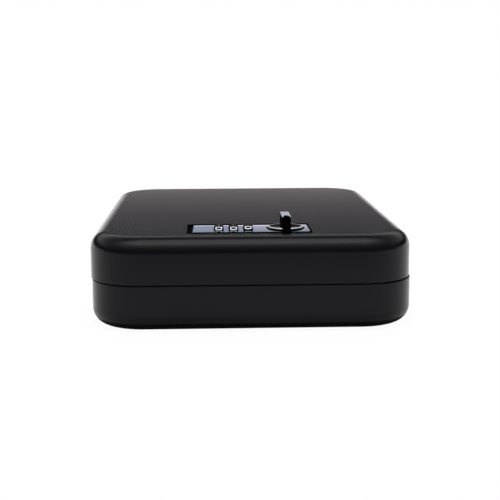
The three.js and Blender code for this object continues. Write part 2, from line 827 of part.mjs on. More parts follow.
// A leaf on the cover with one ridge under each wheel's lowest groove
function detentSpring() {
  const low = coverTop + seatGap;
  const top = low + detentThickness;
  const [left, right] = [dialPlaces[0] - dialWidth / 2, dialPlaces.at(-1) + dialWidth / 2];
  let leaf = block(left, right, dialY - dialWidth, dialY + dialWidth, low, top);
  for (const x of dialPlaces) {
    const half = dialWidth / 3;
    leaf = leaf.add(
      block(x - half, x + half, dialY - detentRidge, dialY + detentRidge, low, top + detentRidge),
    );
  }
  return leaf;
}

place(lid, "fence", fence(), brass);
place(lid, "fence_spring", fenceSpring(), springSteel);
place(lid, "detent_spring", detentSpring(), springSteel);

// Knob with its blade along Y, on a spindle that carries the cam
function knob() {
  const [low, high] = [knobUnder, knobUnder + knobHeight];
  const dish = high - knobDish;
  const disc = turn(
    [[0, low], [knobRadius, low], [knobRadius, high - knobBevel], [knobRadius - knobBevel, high],
      [knobRadius - knobRim, high], [knobRadius - 2 * knobRim, dish], [0, dish]],
    knobCentreX, lockY, knobSides,
  );
  const blade = raise(
    roundedRect(bladeThickness, bladeLength, bladeChamfer, knobCentreX, lockY),
    low + seatGap, bladeTop, bladeChamfer, 1,
  );
  const socket = rodZ(
    spigotRadius + seatGap, low - overrun, low + spigotLength + seatGap, knobCentreX, lockY,
  );
  return disc.add(blade).subtract(socket);
}

function knobSpindle() {
  const under = knobUnder - seatGap;
  const half = squareSize / 2;
  const foot = camBottom + seatGap;
  const shoulder = camTop + seatGap;
  const [x, y] = [knobCentreX, lockY];
  const thread = rodZ(camScrewRadius + seatGap, foot - overrun, foot + camScrewLength, x, y);
  return rodZ(spindleRadius, shoulder, under, x, y, roundSides)
    .add(rodZ(spigotRadius, under - seatGap, under + spigotLength, x, y))
    .add(rodZ(collarRadius, collarTop - collarHeight, collarTop, x, y, roundSides))
    .add(block(x - half, x + half, y - half, y + half, foot, shoulder + seatGap))
    .subtract(thread);
}

function spindleWasher() {
  const [low, high] = [collarTop + seatGap, collarTop + seatGap + washerThickness];
  const bore = rodZ(
    spindleRadius + seatGap, low - overrun, high + overrun, knobCentreX, lockY, roundSides,
  );
  return rodZ(collarRadius, low, high, knobCentreX, lockY, roundSides).subtract(bore);
}

// The cam points along +X while unlocked, square-bored, with a round end
function latchCam() {
  const half = camWidth / 2;
  const shape = new THREE.Shape();
  shape.absarc(knobCentreX, lockY, half, Math.PI / 2, Math.PI * 1.5);
  shape.lineTo(knobCentreX + camReach - half, lockY - half);
  shape.absarc(knobCentreX + camReach - half, lockY, half, -Math.PI / 2, Math.PI / 2);
  const hole = squareSize / 2 + seatGap;
  return raise(shape, camBottom, camTop, 0, arcSteps).subtract(
    block(
      knobCentreX - hole, knobCentreX + hole, lockY - hole, lockY + hole,
      camBottom - overrun, camTop + overrun,
    ),
  );
}

function camScrew() {
  const seat = camBottom - seatGap;
  const foot = seat - camScrewHeadHeight;
  const [x, y] = [knobCentreX, lockY];
  const slot = block(
    x - camScrewHead - seatGap, x + camScrewHead + seatGap,
    y - screwSlotWidth / 2, y + screwSlotWidth / 2, foot - seatGap, foot + screwSlotDepth,
  );
  const shankStart = seat - camScrewHeadHeight / 4;
  return rodZ(camScrewHead, foot, seat, x, y)
    .add(rodZ(camScrewRadius, shankStart, camBottom + camScrewLength, x, y))
    .subtract(slot);
}

place(lid, "knob", knob(), blackGloss);
place(lid, "knob_spindle", knobSpindle(), zincSteel);
place(lid, "spindle_washer", spindleWasher(), springSteel);
place(lid, "latch_cam", latchCam(), zincSteel);
place(lid, "cam_screw", camScrew(), zincSteel);

// A flat head inside the cover, a neck in the slot and a thumb piece below
function resetLever() {
  const [x, y] = leverCentre;
  const half = leverWidth / 2;
  const head = leverHead / 2;
  const low = coverTop + seatGap;
  return block(x - half, x + half, y - half, y + half, coverTop - leverDrop, low + seatGap).add(
    block(x - head, x + head, y - head, y + head, low, low + leverHeadHeight),
  );
}

place(lid, "reset_lever", resetLever(), zincSteel);

export default safe;
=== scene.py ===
"""Looks of a black steel car safe, with a dial lock and a turn knob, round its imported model.

Sizes are in millimetres unless a name says otherwise, and mm() turns them to metres.
"""

import json
import logging
import math
from collections.abc import Callable, Iterator, Sequence
from contextlib import contextmanager
from dataclasses import dataclass, field
from enum import Enum
from typing import Any

import bmesh
import bpy
from mathutils import Matrix, Vector


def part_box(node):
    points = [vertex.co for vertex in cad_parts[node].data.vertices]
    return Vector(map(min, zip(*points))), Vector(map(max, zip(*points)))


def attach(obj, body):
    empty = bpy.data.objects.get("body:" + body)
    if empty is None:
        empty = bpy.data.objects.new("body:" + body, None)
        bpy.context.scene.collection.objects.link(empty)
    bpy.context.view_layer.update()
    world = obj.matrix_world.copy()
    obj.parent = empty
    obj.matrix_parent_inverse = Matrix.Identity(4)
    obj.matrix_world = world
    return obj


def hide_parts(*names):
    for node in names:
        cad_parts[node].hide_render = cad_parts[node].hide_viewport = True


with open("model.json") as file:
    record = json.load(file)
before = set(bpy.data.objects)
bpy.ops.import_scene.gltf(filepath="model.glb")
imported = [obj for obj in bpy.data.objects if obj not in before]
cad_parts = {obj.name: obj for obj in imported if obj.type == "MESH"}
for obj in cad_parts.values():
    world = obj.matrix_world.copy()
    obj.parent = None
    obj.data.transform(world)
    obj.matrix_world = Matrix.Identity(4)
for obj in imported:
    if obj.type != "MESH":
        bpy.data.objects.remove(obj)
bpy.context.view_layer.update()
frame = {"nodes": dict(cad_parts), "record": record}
LOG = logging.getLogger("car_safe")

MILLIMETRE = 0.001
TINY = 2e-6

# A Mix node's colour sockets go by number, as their names are shared with its other types
COLOUR_A = 6
COLOUR_B = 7
COLOUR_OUT = 2

Piece = bpy.types.Object
Point = tuple[float, float, float]
Pair = tuple[float, float]
Test = Callable[[Any], bool]
Tree = bpy.types.NodeTree
Socket = bpy.types.NodeSocket


class Element(Enum):
    """The kind of mesh element that a selection picks."""

    VERT = "verts"
    EDGE = "edges"
    FACE = "faces"


class Axis(Enum):
    """A direction of the frame, as the turn that brings a turned piece's own Z to it."""

    X = (0.0, math.pi / 2, 0.0)
    Y = (-math.pi / 2, 0.0, 0.0)
    Z = (0.0, 0.0, 0.0)


class Join(Enum):
    """What a boolean does with its tool."""

    CUT = "DIFFERENCE"
    WELD = "UNION"


def mm(*values: float) -> Vector | float:
    """Turns millimetres to metres.

    Args:
        values: One length, or the three parts of a place.

    Returns:
        The length as a number, or the place as a vector.
    """
    if len(values) == 1:
        return values[0] * MILLIMETRE
    return Vector(values) * MILLIMETRE


def linear(hex_colour: str) -> tuple[float, float, float, float]:
    """Turns an sRGB hex colour to linear RGBA.

    Args:
        hex_colour: Six hex digits.

    Returns:
        Red, green, blue and an alpha of one.
    """
    parts = [int(hex_colour[i : i + 2], 16) / 255 for i in (0, 2, 4)]
    red, green, blue = (
        c / 12.92 if c <= 0.04045 else ((c + 0.055) / 1.055) ** 2.4 for c in parts
    )
    return red, green, blue, 1.0


def add_node(
    tree: Tree,
    kind: str,
    settings: dict[str, Any] | None = None,
    links: dict[str | int, Any] | None = None,
) -> bpy.types.Node:
    """Adds a node with its settings and links.

    Args:
        tree: The node tree that takes the node.
        kind: Blender's type name, without its ShaderNode start.
        settings: Properties of the node.
        links: Sockets to join to an output, or to set to a value, by name or number.

    Returns:
        The new node.
    """
    node = tree.nodes.new(f"ShaderNode{kind}")
    for name, value in (settings or {}).items():
        setattr(node, name, value)
    for socket, source in (links or {}).items():
        if isinstance(source, bpy.types.NodeSocket):
            tree.links.new(source, node.inputs[socket])
        else:
            node.inputs[socket].default_value = source
    return node


def bare_tree(owner: bpy.types.Material | bpy.types.World) -> Tree:
    """Empties the nodes of a new material or world.

    Args:
        owner: The material or world.

    Returns:
        Its node tree.
    """
    owner.use_nodes = True
    owner.node_tree.nodes.clear()
    return owner.node_tree


@dataclass(frozen=True)
class Finish:
    """What every surface finish has. Each kind says in patterns what varies it."""

    name: str
    colour: str
    second: str
    roughness: float
    spread: float = 0.05
    metallic: float = 0.0
    ior: float = 1.5
    glancing: str = "ffffff"
    depth: float = 0.0

    def patterns(self, tree: Tree, place: Socket) -> tuple[Socket, Socket]:
        """Makes what varies the colour and the roughness, and what raises the relief.

        Args:
            tree: The material's nodes.
            place: The Object coordinates.

        Returns:
            The two outputs, each from 0 to 1.
        """
        raise NotImplementedError

    def build(self) -> bpy.types.Material:
        """Makes the material, with its two colours, its roughness and its relief.

        Returns:
            The new material.
        """
        made = bpy.data.materials.new(self.name)
        tree = bare_tree(made)
        cloud, relief = self.patterns(tree, add_node(tree, "TexCoord").outputs["Object"])
        ends = {COLOUR_A: linear(self.colour), COLOUR_B: linear(self.second)}
        mix = add_node(tree, "Mix", {"data_type": "RGBA"}, {"Factor": cloud, **ends})
        span = {"To Min": self.roughness - self.spread, "To Max": self.roughness + self.spread}
        rough = add_node(tree, "MapRange", links={"Value": cloud, **span})
        look = {
            "Base Color": mix.outputs[COLOUR_OUT],
            "Roughness": rough.outputs[0],
            "Metallic": self.metallic,
            "IOR": self.ior,
            "Specular Tint": linear(self.glancing),
        }
        if self.depth:
            bump = add_node(tree, "Bump", links={"Height": relief, "Distance": mm(self.depth)})
            look["Normal"] = bump.outputs[0]
        shader = add_node(tree, "BsdfPrincipled", links=look)
        add_node(tree, "OutputMaterial", links={"Surface": shader.outputs[0]})
        return made


@dataclass(frozen=True)
class Plated(Finish):
    """Electroplated or drawn metal, with the slight cloud of a bath and a fine grain."""

    cloud: float = 5.0
    grain: float = 0.35
    depth: float = 0.003
    # The detail of the noise in the cloud and in the grain
    details: Pair = (3.0, 2.0)

    def patterns(self, tree: Tree, place: Socket) -> tuple[Socket, Socket]:
        """Gives soft clouds and a fine grain."""
        clouds, grain = (
            add_node(tree, "TexNoise", links={"Vector": place, "Scale": 1 / mm(size), "Detail": n})
            for size, n in zip((self.cloud, self.grain), self.details)
        )
        return clouds.outputs[0], grain.outputs[0]


@dataclass(frozen=True)
class PowderCoat(Plated):
    """Polyester powder sprayed on and baked: satin, with a fine orange peel as its grain."""

    # Real peel is about 0.6 mm from bump to bump, drawn coarser so that it shows
    cloud: float = 45.0
    grain: float = 1.3
    depth: float = 0.009
    details: Pair = (2.0, 1.0)


@dataclass(frozen=True)
class PolishedPlate(Finish):
    """Polished metal: a mirror with faint lines left by the polishing belt along X."""

    line: float = 0.25
    run: float = 30.0
    depth: float = 0.0004

    def patterns(self, tree: Tree, place: Socket) -> tuple[Socket, Socket]:
        """Gives the belt's lines, drawn out along X."""
        scale = (1 / mm(self.run), 1 / mm(self.line), 1 / mm(self.line))
        drawn = add_node(tree, "Mapping", links={"Vector": place, "Scale": scale}).outputs[0]
        grain = {"Vector": drawn, "Scale": 1.0, "Detail": 2.0}
        lines = add_node(tree, "TexNoise", links=grain).outputs[0]
        return lines, lines


@dataclass(frozen=True)
class Gloss(Finish):
    """Moulded or dipped gloss black, with a soft haze where fingers touch it."""

    haze: float = 3.0

    def patterns(self, tree: Tree, place: Socket) -> tuple[Socket, Socket]:
        """Gives the haze, in patches a few millimetres wide; there is no relief."""
        patch = {"Vector": place, "Scale": 1 / mm(self.haze), "Detail": 4.0, "Roughness": 0.6}
        haze = add_node(tree, "TexNoise", links=patch).outputs[0]
        return haze, haze


@dataclass(frozen=True)
class Cellular(Finish):
    """Foam cut from a block, or rubber from a blasted mould: small pits all over."""

    cell: float = 0.8
    depth: float = 0.12

    def patterns(self, tree: Tree, place: Socket) -> tuple[Socket, Socket]:
        """Gives cells that sink as pits in the relief, coloured from the first colour in their
        middles to the second at their walls.
        """
        pits = {"Vector": place, "Scale": 1 / mm(self.cell)}
        cells = add_node(tree, "TexVoronoi", links=pits).outputs["Distance"]
        return cells, cells


# A finish for each material slot of the record, then five that only the looks need
FINISHES: dict[str, Finish] = {
    finish.name: finish
    for finish in (
        PowderCoat("black_powder_coat", "08070c", "0b0a0f", 0.21, 0.02, ior=1.238),
        Cellular("black_foam", "38383b", "28282b", 0.95, 0.03),
        Plated("zinc_steel", "b3b8bd", "a9a79a", 0.32, 0.07, 1.0),
        Cellular("black_rubber", "161617", "1b1b1c", 0.75, 0.05, cell=0.6, depth=0.01),
        PowderCoat(
            "black_cast_zinc", "1c1c1f", "242427", 0.5, 0.05, ior=1.35, grain=0.7, depth=0.03
        ),
        PolishedPlate(
            "bright_plate", "b3bccf", "bcc4d5", 0.06, 0.02, 1.0, glancing="b4bccf"
        ),
        Gloss("black_dial", "060606", "090909", 0.25, 0.05, ior=1.12),
        Plated("lock_brass", "c2a25a", "b08f4c", 0.3, 0.06, 1.0),
        Plated("spring_steel", "96989b", "8a8b8d", 0.28, 0.05, 1.0, cloud=3.0),
        Gloss("black_gloss_zinc", "030303", "050505", 0.3, 0.05, ior=1.01),
        # Painted shade: shadow_gap is a near-black with little gloss, put on cut edges and gap
        # faces that stand in shadow
        Gloss("shadow_gap", "030303", "050505", 0.8, 0.05, ior=1.05),
        Gloss("figure_white", "e4e9e5", "d9dedb", 0.4, 0.05),
        PolishedPlate("cut_face", "c0c9df", "c6cfe3", 0.14, 0.03, 0.2),
        PolishedPlate("cut_rim", "c4c7cc", "ccd0d4", 0.2, 0.04, 0.3),
        Gloss("black_lacquer", "050506", "080809", 0.16, 0.03, ior=1.2),
    )
}
MATERIALS: dict[str, bpy.types.Material] = {}


def material(slot: str) -> bpy.types.Material:
    """Gives a slot's material, made when it is first asked for.

    Args:
        slot: A key of FINISHES.

    Returns:
        The slot's one material.
    """
    if slot not in MATERIALS:
        MATERIALS[slot] = FINISHES[slot].build()
    return MATERIALS[slot]


def only(piece: Piece) -> Piece:
    """Selects one object alone and makes it the active one.

    Args:
        piece: The object.

    Returns:
        The object.
    """
    bpy.ops.object.select_all(action="DESELECT")
    piece.select_set(True)
    bpy.context.view_layer.objects.active = piece
    return piece


def placed(name: str, data: bpy.types.ID) -> bpy.types.Object:
    """Makes an object of a mesh, curve, lamp or camera, and links it to the scene.

    Args:
        name: The object's name.
        data: What it is made of.

    Returns:
        The new object.
    """
    made = bpy.data.objects.new(name, data)
    bpy.context.collection.objects.link(made)
    return made


@contextmanager
def editing(piece: Piece) -> Iterator[None]:
    """Holds a piece in edit mode, with all of it selected at first.

    Args:
        piece: The piece.
    """
    only(piece)
    bpy.ops.object.mode_set(mode="EDIT")
    bpy.ops.mesh.select_all(action="SELECT")
    try:
        yield
    finally:
        bpy.ops.object.mode_set(mode="OBJECT")


def pick(piece: Piece, element: Element, test: Test) -> None:
    """Selects, in edit mode, the elements of a piece that pass a test.

    Args:
        piece: The piece that is in edit mode.
        element: The kind of element.
        test: Says whether an element is wanted.
    """
    bpy.ops.mesh.select_mode(type=element.name)
    bpy.ops.mesh.select_all(action="DESELECT")
    shape = bmesh.from_edit_mesh(piece.data)
    for item in getattr(shape, element.value):
        if test(item):
            item.select_set(True)
    shape.select_flush_mode()
    bmesh.update_edit_mesh(piece.data)


def upright(edge: bmesh.types.BMEdge) -> bool:
    """Says whether an edge stands along Z."""
    a, b = (v.co for v in edge.verts)
    return abs(a.x - b.x) < TINY and abs(a.y - b.y) < TINY


def edge_along_y(edge: bmesh.types.BMEdge) -> bool:
    """Says whether an edge runs along Y."""
    a, b = (v.co for v in edge.verts)
    return abs(a.x - b.x) < TINY and abs(a.z - b.z) < TINY


def at_level(height: float) -> Test:
    """Gives a test for elements whose points all lie at one height.

    Args:
        height: The height in millimetres.

    Returns:
        The test.
    """
    return lambda item: all(abs(v.co.z - mm(height)) < TINY for v in item.verts)


def flat_at(height: float, up: bool) -> Test:
    """Gives a test for flat faces at one height that look up or down.

    Args:
        height: The height in millimetres.
        up: Whether they look up.

    Returns:
        The test.
    """
    lies, sign = at_level(height), 1 if up else -1
    return lambda face: face.normal.z * sign > 0.99 and lies(face)


def settle(piece: Piece) -> Piece:
    """Applies a piece's place, turn and scale, so that its object sits at the origin.

    Args:
        piece: The piece.

    Returns:
        The piece.
    """
    only(piece)
    bpy.ops.object.transform_apply(location=True, rotation=True, scale=True)
    return piece


def block(name: str, low: Sequence[float], high: Sequence[float]) -> Piece:
    """Adds a cube at its size and place.

    Args:
        name: The piece's name.
        low: Its lowest corner.
        high: Its highest corner.

    Returns:
        The new piece.
    """
    bottom, top = mm(*low), mm(*high)
    bpy.ops.mesh.primitive_cube_add(size=1, location=(bottom + top) / 2)
    piece = bpy.context.active_object
    piece.name = name
    piece.scale = top - bottom
    return settle(piece)


def rod(
    name: str, radius: float, length: float, centre: Sequence[float], axis: Axis, sides: int = 64
) -> Piece:
    """Adds a cylinder at its size and place.

    Args:
        name: The piece's name.
        radius: Its radius.
        length: Its length along the axis.
        centre: Its middle.
        axis: The way it points.
        sides: How many sides it has.

    Returns:
        The new piece.
    """
    bpy.ops.mesh.primitive_cylinder_add(
        vertices=sides,
        radius=mm(radius),
        depth=mm(length),
        location=mm(*centre),
        rotation=axis.value,
    )
    piece = bpy.context.active_object
    piece.name = name
    return settle(piece)


def round_edges(piece: Piece, radius: float, segments: int, test: Test) -> None:
    """Bevels the edges of a piece that pass a test.

    Args:
        piece: The piece.
        radius: The bevel's size.
        segments: Its number of faces.
        test: Says which edges are bevelled.
    """
    with editing(piece):
        pick(piece, Element.EDGE, test)
        bpy.ops.mesh.bevel(offset=mm(radius), segments=segments, affect="EDGES")


def work(piece: Piece, kind: str, **settings: Any) -> None:
    """Adds a modifier with its settings and applies it.

    Args:
        piece: The piece.
        kind: The modifier's type.
        settings: Its properties.
    """
    only(piece)
    modifier = piece.modifiers.new(kind.lower(), kind)
    for name, value in settings.items():
        setattr(modifier, name, value)
    bpy.ops.object.modifier_apply(modifier=modifier.name)


def combine(piece: Piece, tool: Piece, join: Join) -> None:
    """Cuts a tool out of a piece or welds it on, and removes the tool.

    Args:
        piece: The piece that stays.
        tool: The piece that is used up.
        join: Whether it cuts or welds.
    """
    work(piece, "BOOLEAN", object=tool, operation=join.value, solver="EXACT")
    bpy.data.objects.remove(tool)


def break_edges(piece: Piece, width: float, segments: int = 2, angle: float = 40) -> Piece:
    """Rounds every sharp edge a little, and shades the piece smooth between them.

    Args:
        piece: The piece.
        width: The bevel's width.
        segments: Its number of faces.
        angle: The turn in degrees from which an edge counts as sharp.

    Returns:
        The piece.
    """
    work(
        piece,
        "BEVEL",
        width=mm(width),
        segments=segments,
        limit_method="ANGLE",
        angle_limit=math.radians(angle),
        harden_normals=False,
    )
    return smooth(piece)


def smooth(piece: Piece, angle: float = 32) -> Piece:
    """Shades a piece smooth, apart from its sharp edges.

    Args:
        piece: The piece.
        angle: The turn in degrees from which an edge counts as sharp.

    Returns:
        The piece.
    """
    only(piece)
    bpy.ops.object.shade_smooth_by_angle(angle=math.radians(angle))
    work(piece, "WEIGHTED_NORMAL", keep_sharp=True)
    return piece


def turned(
    name: str,
    profile: Sequence[Pair],
    centre: Sequence[float],
    axis: Axis = Axis.Z,
    steps: int = 64,
) -> Piece:
    """Spins a profile once round an axis, as on a lathe.

    Args:
        name: The piece's name.
        profile: Radius and height of each point, from the axis back to the axis.
        centre: Where the profile's zero goes.
        axis: The way the profile's height points.
        steps: The number of sides.

    Returns:
        The new closed piece.
    """
    mesh = bpy.data.meshes.new(name)
    points = [mm(radius, 0, height) for radius, height in profile]
    mesh.from_pydata(points, [(i, i + 1) for i in range(len(points) - 1)], [])
    piece = placed(name, mesh)
    with editing(piece):
        bpy.ops.mesh.spin(steps=steps, angle=2 * math.pi, center=(0, 0, 0), axis=(0, 0, 1))
        bpy.ops.mesh.select_all(action="SELECT")
        bpy.ops.mesh.remove_doubles(threshold=TINY)
        bpy.ops.mesh.normals_make_consistent(inside=False)
    piece.location = mm(*centre)
    piece.rotation_euler = axis.value
    return settle(piece)


def arc(
    centre: Pair, radius: float, start: float, end: float, steps: int = 5
) -> list[Pair]:
    """Gives the points of an arc in a turned profile.

    Args:
        centre: The radius and height of the arc's middle.
        radius: The arc's radius.
        start: Its first angle in degrees, where 0 is outwards and 90 is up.
        end: Its last angle.
        steps: The number of its parts.

    Returns:
        The points from start to end.
    """
    angles = [math.radians(start + (end - start) * i / steps) for i in range(steps + 1)]
    return [
        (centre[0] + radius * math.cos(a), centre[1] + radius * math.sin(a)) for a in angles
    ]


def dome(radius: float, start: float, top: float, steps: int = 5) -> list[Pair]:
    """Gives the points of a low dome's profile, from near its middle out to its rim.

    Args:
        radius: The rim's radius.
        start: The rim's height.
        top: The height of the middle.
        steps: The number of points.

    Returns:
        Radius and height of each point, without the middle.
    """
    return [
        (
            radius * math.sin(math.pi / 2 * i / steps),
            start + (top - start) * math.cos(math.pi / 2 * i / steps),
        )
        for i in range(1, steps + 1)
    ]


def joined(name: str, pieces: Sequence[Piece]) -> Piece:
    """Joins pieces into the first one.

    Args:
        name: The new name.
        pieces: What is joined.

    Returns:
        The joined piece.
    """
    only(pieces[0])
    for piece in pieces:
        piece.select_set(True)
    bpy.ops.object.join()
    pieces[0].name = name
    return pieces[0]


def refined(node: str, name: str, edge: float, segments: int = 2) -> Piece:
    """Copies a solid of the model, merges its flat faces and breaks its edges.

    Args:
        node: The model's node.
        name: The new piece's name.
        edge: The width of its rounded edges.
        segments: The number of faces across them.

    Returns:
        The new piece.
    """
    piece = placed(name, frame["nodes"][node].data.copy())
    piece.data.materials.clear()
    with editing(piece):
        bpy.ops.mesh.customdata_custom_splitnormals_clear()
        bpy.ops.mesh.remove_doubles(threshold=TINY)
        bpy.ops.mesh.dissolve_limited(angle_limit=math.radians(0.4))
    return break_edges(piece, edge, segments)


def paint(piece: Piece, slots: Sequence[str], choose: Callable[[Any], int]) -> Piece:
    """Gives a piece several finishes, each face its own.

    Args:
        piece: The piece.
        slots: The finishes.
        choose: Gives the number of a face's finish.

    Returns:
        The piece.
    """
    for slot in slots:
        piece.data.materials.append(material(slot))
    for face in piece.data.polygons:
        face.material_index = int(choose(face))
    return piece


def middle_of(node: str) -> Vector:
    """Gives the middle of a node's box, in millimetres."""
    low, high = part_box(node)
    return (low + high) / 2 / MILLIMETRE


def fit(piece: Piece, body: str, slot: str, *nodes: str) -> Piece:
    """Dresses a finished piece, parents it to its body and logs that, and hides the model's nodes
    that it stands for.

    Args:
        piece: The piece.
        body: The body that it moves with.
        slot: The record's material slot.
        nodes: The model's nodes that it replaces.

    Returns:
        The piece.
    """
    if not piece.data.materials:
        piece.data.materials.append(material(slot))
    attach(piece, body)
    if nodes:
        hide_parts(*nodes)
    LOG.info("%s rides on %s, %d faces", piece.name, body, len(piece.data.polygons))
    return piece


@dataclass
class DrawnPan:
    """One half of the box: sheet steel drawn to a pan with round corners and edges."""

    name: str
    low: float
    high: float
    opens_up: bool
    shift: float = 0.0
    width: float = 180.0
    depth: float = 240.0
    corner: float = 30.0
    edge: float = 9.0
    sheet: float = 1.2
    cut_edge: float = 0.22
    corner_segments: int = 24
    edge_segments: int = 12

    def draw(self) -> Piece:
        """Bevels a cube to the pan's outside, opens it and gives it its sheet.

        Returns:
            The pan, with its rim still sharp.
        """
        half_width, half_depth = self.width / 2, self.depth / 2
        pan = block(
            self.name,
            (self.shift - half_width, -half_depth, self.low),
            (self.shift + half_width, half_depth, self.high),
        )
        round_edges(pan, self.corner, self.corner_segments, upright)
        closed, opened = (self.low, self.high) if self.opens_up else (self.high, self.low)
        with editing(pan):
            pick(pan, Element.FACE, flat_at(opened, self.opens_up))
            bpy.ops.mesh.delete(type="ONLY_FACE")
        round_edges(pan, self.edge, self.edge_segments, at_level(closed))
        work(pan, "SOLIDIFY", thickness=mm(self.sheet), offset=-1.0, use_even_offset=True)
        return pan

    def finish(self, pan: Piece) -> Piece:
        """Breaks the cut edges of the sheet and smooths the pan."""
        return break_edges(pan, self.cut_edge, 3, 50)


@dataclass
class Hinges:
    """Two hinges inside the rear wall, whose knuckles show through notches in it."""

    centres: dict[str, float] = field(default_factory=lambda: {"left": -43.0, "right": 43.0})
    line: Point = (0.0, 120.0, 25.75)
    leaf_width: float = 28.0
    leaf_front: float = 117.4
    leaf_back: float = 118.6
    reach: float = 16.0
    tongue: float = 0.3
    leaf_start: float = 2.8
    barrel: float = 2.2
    pin: float = 1.2
    bore: float = 1.4
    knuckle_half: float = 6.0
    clear: float = 0.8
    play: float = 0.5
    notch_clear: float = 2.5
    notch_reach: Pair = (3.7, 5.0)
    notch_corner: float = 0.6
    leaf_corner: float = 2.5
    tongue_thickness: float = 1.2
    head: float = 1.9
    head_length: float = 0.8
    edge: float = 0.15
    pin_play: float = 0.2

    def cut_notches(self, pan: Piece, shift: float = 0.0) -> None:
        """Cuts a pan's openings for the knuckles.

        Args:
            pan: The pan.
            shift: How far the openings lie to the left of the hinges.
        """
        half = self.leaf_width / 2 + self.head_length + self.clear
        _, y, z = self.line
        inwards, outwards = self.notch_reach
        for x in (centre - shift for centre in self.centres.values()):
            low = (x - half, y - inwards, z - self.notch_clear)
            tool = block("notch", low, (x + half, y + outwards, z + self.notch_clear))
            round_edges(tool, self.notch_corner, 4, edge_along_y)
            combine(pan, tool, Join.CUT)

    def leaf(self, name: str, x: float, up: int, knuckles: Sequence[Pair]) -> Piece:
        """Welds a leaf, its tongues and its knuckles, and bores them for the pin.

        Args:
            name: The piece's name.
            x: The hinge's middle.
            up: 1 for the lid's leaf and -1 for the base's.
            knuckles: The first and last x of each knuckle, from the middle.

        Returns:
            The leaf.
        """
        _, y, z = self.line
        half = self.leaf_width / 2
        start, end = sorted((z + up * self.leaf_start, z + up * self.reach))
        leaf = block(name, (x - half, self.leaf_front, start), (x + half, self.leaf_back, end))
        at_end = at_level(z + up * self.reach)
        round_edges(leaf, self.leaf_corner, 5, lambda edge: edge_along_y(edge) and at_end(edge))
        near = z + up * self.tongue
        low, high = sorted((near, z + up * (self.tongue + self.tongue_thickness)))
        foot, top = sorted((near, z + up * (self.leaf_start + 1)))
        for first, last in knuckles:
            parts = [
                block("stem", (x + first, self.leaf_front, foot), (x + last, self.leaf_back, top)),
                block("tongue", (x + first, self.leaf_front, low), (x + last, y, high)),
                rod("knuckle", self.barrel, last - first, (x + (first + last) / 2, y, z), Axis.X),
            ]
            for part in parts:
                combine(leaf, part, Join.WELD)
        combine(leaf, rod("bore", self.bore, self.leaf_width + 10, (x, y, z), Axis.X), Join.CUT)
        return break_edges(leaf, self.edge)

    def pin_piece(self, name: str, x: float) -> Piece:
        """Turns a pin with a domed head at each end.

        Args:
            name: The piece's name.
            x: The hinge's middle.

        Returns:
            The pin.
        """
        end = self.leaf_width / 2 + self.pin_play
        tip = end + self.head_length
        rim = dome(self.head, end + self.edge, tip)
        profile = [
            (0, -tip),
            *[(r, -h) for r, h in rim],
            (self.head, -end),
            (self.pin, -end),
            (self.pin, end),
            (self.head, end),
            *reversed(rim),
            (0, tip),
        ]
        return smooth(turned(name, profile, (x, *self.line[1:]), Axis.X, 32))

    def build(self) -> None:
        """Makes both hinges and fits each part to its body."""
        inner = self.knuckle_half + self.clear
        half = self.leaf_width / 2
        for side, x in self.centres.items():
            base = self.leaf(f"base_hinge_leaf_{side}", x, -1, [(-half, -inner), (inner, half)])
            fit(base, "base", "black_powder_coat", f"hinge_base_leaf_{side}")
            pin = self.pin_piece(f"hinge_rivet_pin_{side}", x)
            fit(pin, "base", "zinc_steel", f"hinge_pin_{side}")
            span = [(-self.knuckle_half, self.knuckle_half)]
            lid = self.leaf(f"lid_hinge_leaf_{side}", x - self.play, 1, span)
            fit(lid, "lid", "black_powder_coat", f"hinge_lid_leaf_{side}")


@dataclass(frozen=True)
class PanScrew:
    """A pan-head screw that is driven upwards, with a cross in its head.

    The seat and the end are heights, the rise is the head's, and head and shank are radii.
    """

    seat: float
    head: float
    rise: float
    shank: float
    end: float
    point: float = 0.4
    cross_half: float = 0.28
    cross_reach: float = 0.62
    cross_depth: float = 0.55
    shoulder: float = 0.45

    def build(self, name: str, centre: Sequence[float]) -> Piece:
        """Turns the screw and cuts its cross.

        Args:
            name: The piece's name.
            centre: Its x and y.

        Returns:
            The screw.
        """
        x, y = centre
        foot = self.seat - self.rise
        profile = [
            (0, foot),
            *dome(self.head, self.seat - self.rise * self.shoulder, foot),
            (self.head, self.seat),
            (self.shank, self.seat),
            (self.shank, self.end - self.point),
            (self.shank - self.point, self.end),
            (0, self.end),
        ]
        screw = turned(name, profile, (x, y, 0), Axis.Z, 40)
        long, narrow = self.head * self.cross_reach, self.cross_half
        for half_x, half_y in ((long, narrow), (narrow, long)):
            low = (x - half_x, y - half_y, foot - 0.3)
            high = (x + half_x, y + half_y, foot + self.rise * self.cross_depth)
            combine(screw, block("recess", low, high), Join.CUT)
        return smooth(screw)


